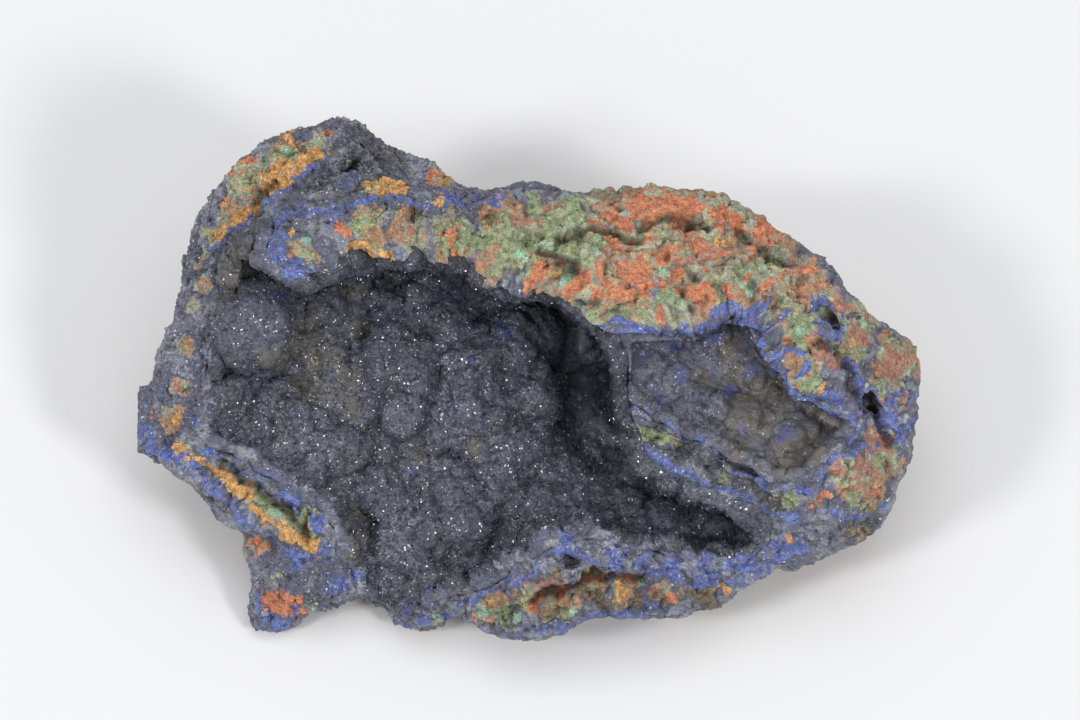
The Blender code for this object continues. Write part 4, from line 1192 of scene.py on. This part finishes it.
# %% Grounds, minerals and flecks
def wandering_ground(tree, where, region, marks):
    """The ground under the minerals, in tints that wander, and how earthy it is at each place."""
    shift = add(tree, "ShaderNodeTexNoise", Vector=where, Scale=per_mm(0.6), Detail=4.0, Roughness=0.7)
    step = add(tree, "ShaderNodeMath", TIMES_PLUS, _0=marks["ground"], _1=0.22, _2=0.5)
    for noise, weight in ((region, 1.9), (shift, 0.3)):
        step = add(
            tree, "ShaderNodeMath", TIMES_PLUS, _0=noise.outputs["Fac"], _1=weight, _2=step.outputs[0])
    step = add(tree, "ShaderNodeMath", {"operation": "FRACT"}, _0=step.outputs[0])
    grounds = []
    for tints in (CRYSTAL_TINTS, EARTH_TINTS):
        ground = add(tree, "ShaderNodeValToRGB", Fac=step.outputs[0])
        while len(ground.color_ramp.elements) < len(tints):
            ground.color_ramp.elements.new(0.5)
        for index, tint in enumerate(tints):
            ground.color_ramp.elements[index].position = index / (len(tints) - 1)
            ground.color_ramp.elements[index].color = linear(tint)
        grounds.append(ground.outputs["Color"])
    fray = add(
        tree, "ShaderNodeMath", TIMES_PLUS, _0=marks["earthy"], _1=0.6, _2=region.outputs["Fac"])
    earthy = add(tree, "ShaderNodeMapRange", EASED, Value=fray.outputs[0], From_Min=0.66, From_Max=0.86)
    ground = add(tree, "ShaderNodeMix", OVER, Factor=earthy.outputs[0], _6=grounds[0], _7=grounds[1])
    return ground.outputs[2], earthy.outputs[0]


def lay_minerals(tree, where, marks, colour):
    """Lays the painted minerals over a colour, with edges broken up by noise."""
    patch = add(tree, "ShaderNodeTexNoise", Vector=where, Scale=per_mm(1.5), Detail=6.0, Roughness=0.72)
    tint_noise = add(tree, "ShaderNodeTexNoise", Vector=where, Scale=per_mm(0.7), Detail=4.0, Roughness=0.7)
    tint_share = add(
        tree, "ShaderNodeMapRange", EASED, Value=tint_noise.outputs["Fac"], From_Min=0.38, From_Max=0.62)
    worn = add(tree, "ShaderNodeMapRange", EASED, Value=patch.outputs["Fac"], From_Min=0.45, From_Max=0.65)
    for mineral, (light, dark) in MINERAL_TINTS.items():
        ragged = add(
            tree, "ShaderNodeMath", TIMES_PLUS, _0=marks[mineral], _1=0.55, _2=patch.outputs["Fac"])
        share = add(tree, "ShaderNodeMapRange", EASED, Value=ragged.outputs[0], From_Min=0.82, From_Max=0.92)
        tint = add(
            tree, "ShaderNodeMix", OVER, Factor=tint_share.outputs[0], _6=linear(light), _7=linear(dark))
        if mineral == "azurite":
            tint = add(
                tree, "ShaderNodeMix", OVER,
                Factor=worn.outputs[0], _6=tint.outputs[2], _7=linear(WORN_AZURITE))
        laid = add(tree, "ShaderNodeMix", OVER, Factor=share.outputs[0], _6=colour, _7=tint.outputs[2])
        colour = laid.outputs[2]
    return colour


def scatter_flecks(tree, where, earthy, colour):
    """Scatters small flecks of other tints, more of them on the earthy ground."""
    rarer = add(tree, "ShaderNodeMapRange", Value=earthy, To_Min=0.5, To_Max=1.0)
    for index, (tint, size, level) in enumerate(FLECKS.values()):
        moved = add(tree, "ShaderNodeMapping", Vector=where, Location=(0.01 * (index + 1), 0.0, 0.0))
        fleck = add(
            tree, "ShaderNodeTexNoise",
            Vector=moved.outputs[0], Scale=per_mm(size), Detail=3.0, Roughness=0.6)
        fleck_share = add(
            tree, "ShaderNodeMapRange", EASED,
            Value=fleck.outputs["Fac"], From_Min=level, From_Max=level + 0.06, To_Max=0.75)
        shown = add(tree, "ShaderNodeMath", TIMES, _0=fleck_share.outputs[0], _1=rarer.outputs[0])
        laid = add(tree, "ShaderNodeMix", OVER, Factor=shown.outputs[0], _6=colour, _7=linear(tint))
        colour = laid.outputs[2]
    return colour


def tipped_normal(tree, where, size, tilt):
    """The surface's normal, tipped a different way in every cell, as the faces of small crystals are."""
    faces = add(tree, "ShaderNodeTexVoronoi", Vector=where, Scale=per_mm(size))
    tipped = add(
        tree, "ShaderNodeVectorMath", {"operation": "SUBTRACT"},
        _0=faces.outputs["Color"], _1=(0.5, 0.5, 0.5))
    turned = add(tree, "ShaderNodeVectorMath", SCALED, Vector=tipped.outputs[0], Scale=tilt)
    level = add(tree, "ShaderNodeNewGeometry")
    leaning = add(
        tree, "ShaderNodeVectorMath", {"operation": "ADD"},
        _0=level.outputs["Normal"], _1=turned.outputs[0])
    return add(tree, "ShaderNodeVectorMath", {"operation": "NORMALIZE"}, _0=leaning.outputs[0]).outputs[0]


# %% Ore material
# Broken copper ore: iron stain and malachite in an earthy, matt ground, and azurite in a blue-grey ground
# of small crystals that glint a little, under a clear coat that only the crystalline parts have. To the
# eye that is dull, gritty rock with a frosty shine where the blue is.
ORE_GLINT = 0.5
GLINT_SIZE = 0.3  # mm
ore_material = new_material("iron_stained_copper_ore")
tree = ore_material.node_tree
where = add(tree, "ShaderNodeTexCoord").outputs["Object"]
marks = {  # the numbers that were painted on the mesh
    mark: add(tree, "ShaderNodeAttribute", {"attribute_name": mark}).outputs["Fac"]
    for mark in ("ground", "earthy", "pick", "hollowed", "wall", "sparkle", *MINERAL_TINTS)
}
region = add(tree, "ShaderNodeTexNoise", Vector=where, Scale=per_mm(5.0), Detail=3.0, Roughness=0.6)
colour, earthy = wandering_ground(tree, where, region, marks)
colour = lay_minerals(tree, where, marks, colour)
colour = scatter_flecks(tree, where, earthy, colour)
speck = add(tree, "ShaderNodeTexNoise", Vector=where, Scale=per_mm(0.22), Detail=3.0, Roughness=0.7)
speck_light = add(
    tree, "ShaderNodeMapRange", EASED,
    Value=speck.outputs["Fac"], From_Min=0.3, From_Max=0.7, To_Min=0.66, To_Max=1.28)
specked = add(tree, "ShaderNodeVectorMath", SCALED, Vector=colour, Scale=speck_light.outputs[0])
grain_light = add(tree, "ShaderNodeMapRange", Value=marks["pick"], To_Min=0.8, To_Max=1.2)
grained = add(
    tree, "ShaderNodeVectorMath", SCALED, Vector=specked.outputs[0], Scale=grain_light.outputs[0])
# painted shade: darkens pits, cracks, low places between grains and a few low ledges
painted_shade = add(
    tree, "ShaderNodeMix", DARKENED, Factor=marks["hollowed"], _6=grained.outputs[0], _7=linear(HOLLOW_SHADE))
walled = add(
    tree, "ShaderNodeMix", OVER, Factor=marks["wall"], _6=painted_shade.outputs[2], _7=linear(HIDDEN_WALL))
grit = add(tree, "ShaderNodeTexNoise", Vector=where, Scale=per_mm(0.3), Detail=4.0, Roughness=0.7)
gritty = add(tree, "ShaderNodeBump", Height=grit.outputs["Fac"], Strength=0.8, Distance=0.3 * MM)
glint = add(
    tree, "ShaderNodeMapRange", EASED,
    Value=marks["sparkle"], From_Min=0.2, From_Max=0.8, To_Max=ORE_GLINT)
ore_shader = add(
    tree, "ShaderNodeBsdfPrincipled",
    Base_Color=walled.outputs[2], Roughness=0.9, Normal=gritty.outputs[0], Specular_IOR_Level=0.35,
    Coat_Weight=glint.outputs[0], Coat_Roughness=0.18, Coat_IOR=1.6,
    Coat_Normal=tipped_normal(tree, where, GLINT_SIZE, 1.2))
add(tree, "ShaderNodeOutputMaterial", Surface=ore_shader.outputs[0])
print(ore_material.name, "has", len(tree.nodes), "nodes")

# %% [markdown]
# ## Druse finish
# Azurite is a deep blue copper carbonate. In a druse it is so thick that it looks slate-dark, and only the
# crystal faces that happen to face a lamp flash white. The crystals in the mesh are too few to do that
# alone. Each face is about a quarter of a millimetre, so a clear coat over the colour is tipped a
# different way in every cell of a pattern of that size. The colour under it keeps the true surface, so
# the round knobs still shade as knobs.
# The three hollows differ. In the large one the crystals are coarse, nearly black and bright. The bowl is
# worn to small velvety knobs, greyer and duller. The pocket's crystals are as coarse as the large
# hollow's, but dust makes them pale.


# %% Druse material
THICK_AZURITE = "303B60"
BARE_AZURITE = "3D4C9C"
LIP_AZURITE = "5A6084"
CAVE_PAINTED_LIGHT = "7C808E"
SEAM_SHADE = "6E6A66"
ROOF_SHADE = "92929C"


def crystal_colour(tree, where, marks, tints, crystal_size, fuzz):
    """Two tints by crystal, each crystal with its own lightness, under patches of thick blue-black."""
    faces = add(tree, "ShaderNodeTexVoronoi", Vector=where, Scale=per_mm(crystal_size))
    face_number = add(tree, "ShaderNodeSeparateColor", Color=faces.outputs["Color"])
    mixed = add(
        tree, "ShaderNodeMath", TIMES_PLUS,
        _0=face_number.outputs[0], _1=0.45, _2=fuzz.outputs["Fac"])
    share = add(tree, "ShaderNodeMapRange", EASED, Value=mixed.outputs[0], From_Min=0.4, From_Max=1.0)
    crystal = add(
        tree, "ShaderNodeMix", OVER, Factor=share.outputs[0], _6=linear(tints[0]), _7=linear(tints[1]))
    light = add(tree, "ShaderNodeMapRange", Value=marks["pick"], To_Min=0.72, To_Max=1.3)
    lit = add(tree, "ShaderNodeVectorMath", SCALED, Vector=crystal.outputs[2], Scale=light.outputs[0])
    thick = add(tree, "ShaderNodeTexNoise", Vector=where, Scale=per_mm(1.8), Detail=3.0, Roughness=0.65)
    thick_share = add(
        tree, "ShaderNodeMapRange", EASED,
        Value=thick.outputs["Fac"], From_Min=0.48, From_Max=0.66, To_Max=0.4)
    return add(
        tree, "ShaderNodeMix", OVER,
        Factor=thick_share.outputs[0], _6=lit.outputs[0], _7=linear(THICK_AZURITE)).outputs[2]


def dusted(tree, where, marks, clay, dusty, colour):
    """Lays clay dust over a colour, in clouds, and most of it where clay is painted."""
    cloud = add(tree, "ShaderNodeTexNoise", Vector=where, Scale=per_mm(3.0), Detail=5.0, Roughness=0.7)
    dust = add(tree, "ShaderNodeTexNoise", Vector=where, Scale=per_mm(0.5), Detail=5.0, Roughness=0.8)
    level = add(
        tree, "ShaderNodeMath", TIMES_PLUS, _0=cloud.outputs["Fac"], _1=0.8, _2=dust.outputs["Fac"])
    level = add(tree, "ShaderNodeMath", TIMES_PLUS, _0=marks["clay"], _1=dusty, _2=level.outputs[0])
    share = add(
        tree, "ShaderNodeMapRange", EASED,
        Value=level.outputs[0], From_Min=0.94, From_Max=1.22, To_Max=0.8)
    return add(
        tree, "ShaderNodeMix", OVER, Factor=share.outputs[0], _6=colour, _7=linear(clay)).outputs[2]


def shaded_by_place(tree, marks, colour):
    """Paints shade into the seams and below the roof of the cave, paints light into the deep cave, and tints
    worn knobs and the lip.
    """
    seam_share = add(tree, "ShaderNodeMath", TIMES, _0=marks["seam"], _1=0.8)
    glow = add(tree, "ShaderNodeMath", TIMES, _0=marks["bare_blue"], _1=0.4)
    # painted light: a pale grey mixed in to lighten the deep cave
    cave = add(tree, "ShaderNodeMapRange", EASED, Value=marks["cave"], To_Max=0.7)
    lip = add(
        tree, "ShaderNodeMapRange", EASED, Value=marks["rim"], From_Min=0.3, From_Max=0.8, To_Max=0.7)
    for share, how, tint in (
            (seam_share.outputs[0], DARKENED, SEAM_SHADE), (glow.outputs[0], OVER, BARE_AZURITE),
            (cave.outputs[0], OVER, CAVE_PAINTED_LIGHT), (marks["painted_underside_shade"], DARKENED, ROOF_SHADE),
            (lip.outputs[0], OVER, LIP_AZURITE)):
        laid = add(tree, "ShaderNodeMix", how, Factor=share, _6=colour, _7=linear(tint))
        colour = laid.outputs[2]
    return colour


def druse_material(name, tints, clay, dusty, crystal_size, tilt, coat, velvet):
    """Blue-black crystal skin, with clay in its low places and bare blue where it is worn."""
    made = new_material(name)
    tree = made.node_tree
    where = add(tree, "ShaderNodeTexCoord").outputs["Object"]
    marks = {
        mark: add(tree, "ShaderNodeAttribute", {"attribute_name": mark}).outputs["Fac"]
        for mark in ("pick", "clay", "seam", "bare_blue", "cave", "painted_underside_shade", "rim")
    }
    fuzz = add(tree, "ShaderNodeTexNoise", Vector=where, Scale=per_mm(0.45), Detail=4.0, Roughness=0.75)
    colour = crystal_colour(tree, where, marks, tints, crystal_size, fuzz)
    colour = dusted(tree, where, marks, clay, dusty, colour)
    colour = shaded_by_place(tree, marks, colour)
    fuzzy = add(tree, "ShaderNodeBump", Height=fuzz.outputs["Fac"], Strength=velvet, Distance=0.35 * MM)
    dull = add(tree, "ShaderNodeMath", {"operation": "MAXIMUM"}, _0=marks["rim"], _1=marks["seam"])
    glint = add(
        tree, "ShaderNodeMapRange", EASED,
        Value=dull.outputs[0], From_Min=0.2, From_Max=0.8, To_Min=coat, To_Max=0.1 * coat)
    shader = add(
        tree, "ShaderNodeBsdfPrincipled",
        Base_Color=colour, Roughness=0.62, Normal=fuzzy.outputs[0], IOR=1.5, Coat_Weight=glint.outputs[0],
        Coat_Roughness=0.16, Coat_IOR=1.73, Coat_Normal=tipped_normal(tree, where, crystal_size, tilt))
    add(tree, "ShaderNodeOutputMaterial", Surface=shader.outputs[0])
    print(name, "has", len(tree.nodes), "nodes")
    return made


# %% The three druses
# Grown azurite crystals, unworked. Azurite's own index is about 1.73, which gives its coat a hard, glassy
# flash, while the duller colour below it is that of light lost between the crystals.
druse = druse_material(
    "drusy_azurite", tints=("292C35", "5C606F"), clay="6A6250", dusty=0.19,
    crystal_size=0.27, tilt=1.3, coat=0.6, velvet=0.7)
velvet = druse_material(
    "botryoidal_azurite", tints=("474A5A", "686A77"), clay="6A6254", dusty=0.28,
    crystal_size=0.24, tilt=0.9, coat=0.3, velvet=0.6)
bright = druse_material(
    "sparkling_azurite", tints=("4C5059", "8C9098"), clay="8F846C", dusty=0.19,
    crystal_size=0.27, tilt=1.3, coat=0.6, velvet=0.7)
FINISHES = {"vug_crust": druse, "bowl_crust": velvet, "pocket_crust": bright}

# %% [markdown]
# ## Hand-over
# Each finer piece takes the place of its CAD node, and the crystals and granules are added to them. All
# of it is one rock, so every piece rides on the root. A lining has two materials: its lip shows the ore's,
# because the ore closes over it there. Edges sharper than an angle stay crisp, as a crystal's do, and the
# rest is shaded smooth. The ore's angle is smaller, because it broke and the linings grew.

# %% Put the pieces on the rock
ORE_SHARP = 32.0
LINING_SHARP = 60.0

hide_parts("ore_matrix")
for piece in (ore, granules):
    piece.data.materials.append(ore_material)
    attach(piece, "root")
for node, lining in linings.items():
    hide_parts(node)
    for piece in (lining, crystals[node]):
        piece.data.materials.append(FINISHES[node])
        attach(piece, "root")
    lining.data.materials.append(ore_material)
    on_rim = per_face(lining, painted(lining, "rim")) > 0.5
    lining.data.polygons.foreach_set("material_index", on_rim.astype(np.int32))
for piece, sharp_angle in [(ore, ORE_SHARP)] + [(lining, LINING_SHARP) for lining in linings.values()]:
    deselect()
    piece.select_set(True)
    bpy.context.view_layer.objects.active = piece
    bpy.ops.object.shade_smooth_by_angle(angle=math.radians(sharp_angle))
pieces = [ore, granules, *linings.values(), *crystals.values()]
print(len(pieces), "pieces,", sum(triangle_count(piece) for piece in pieces), "triangles")
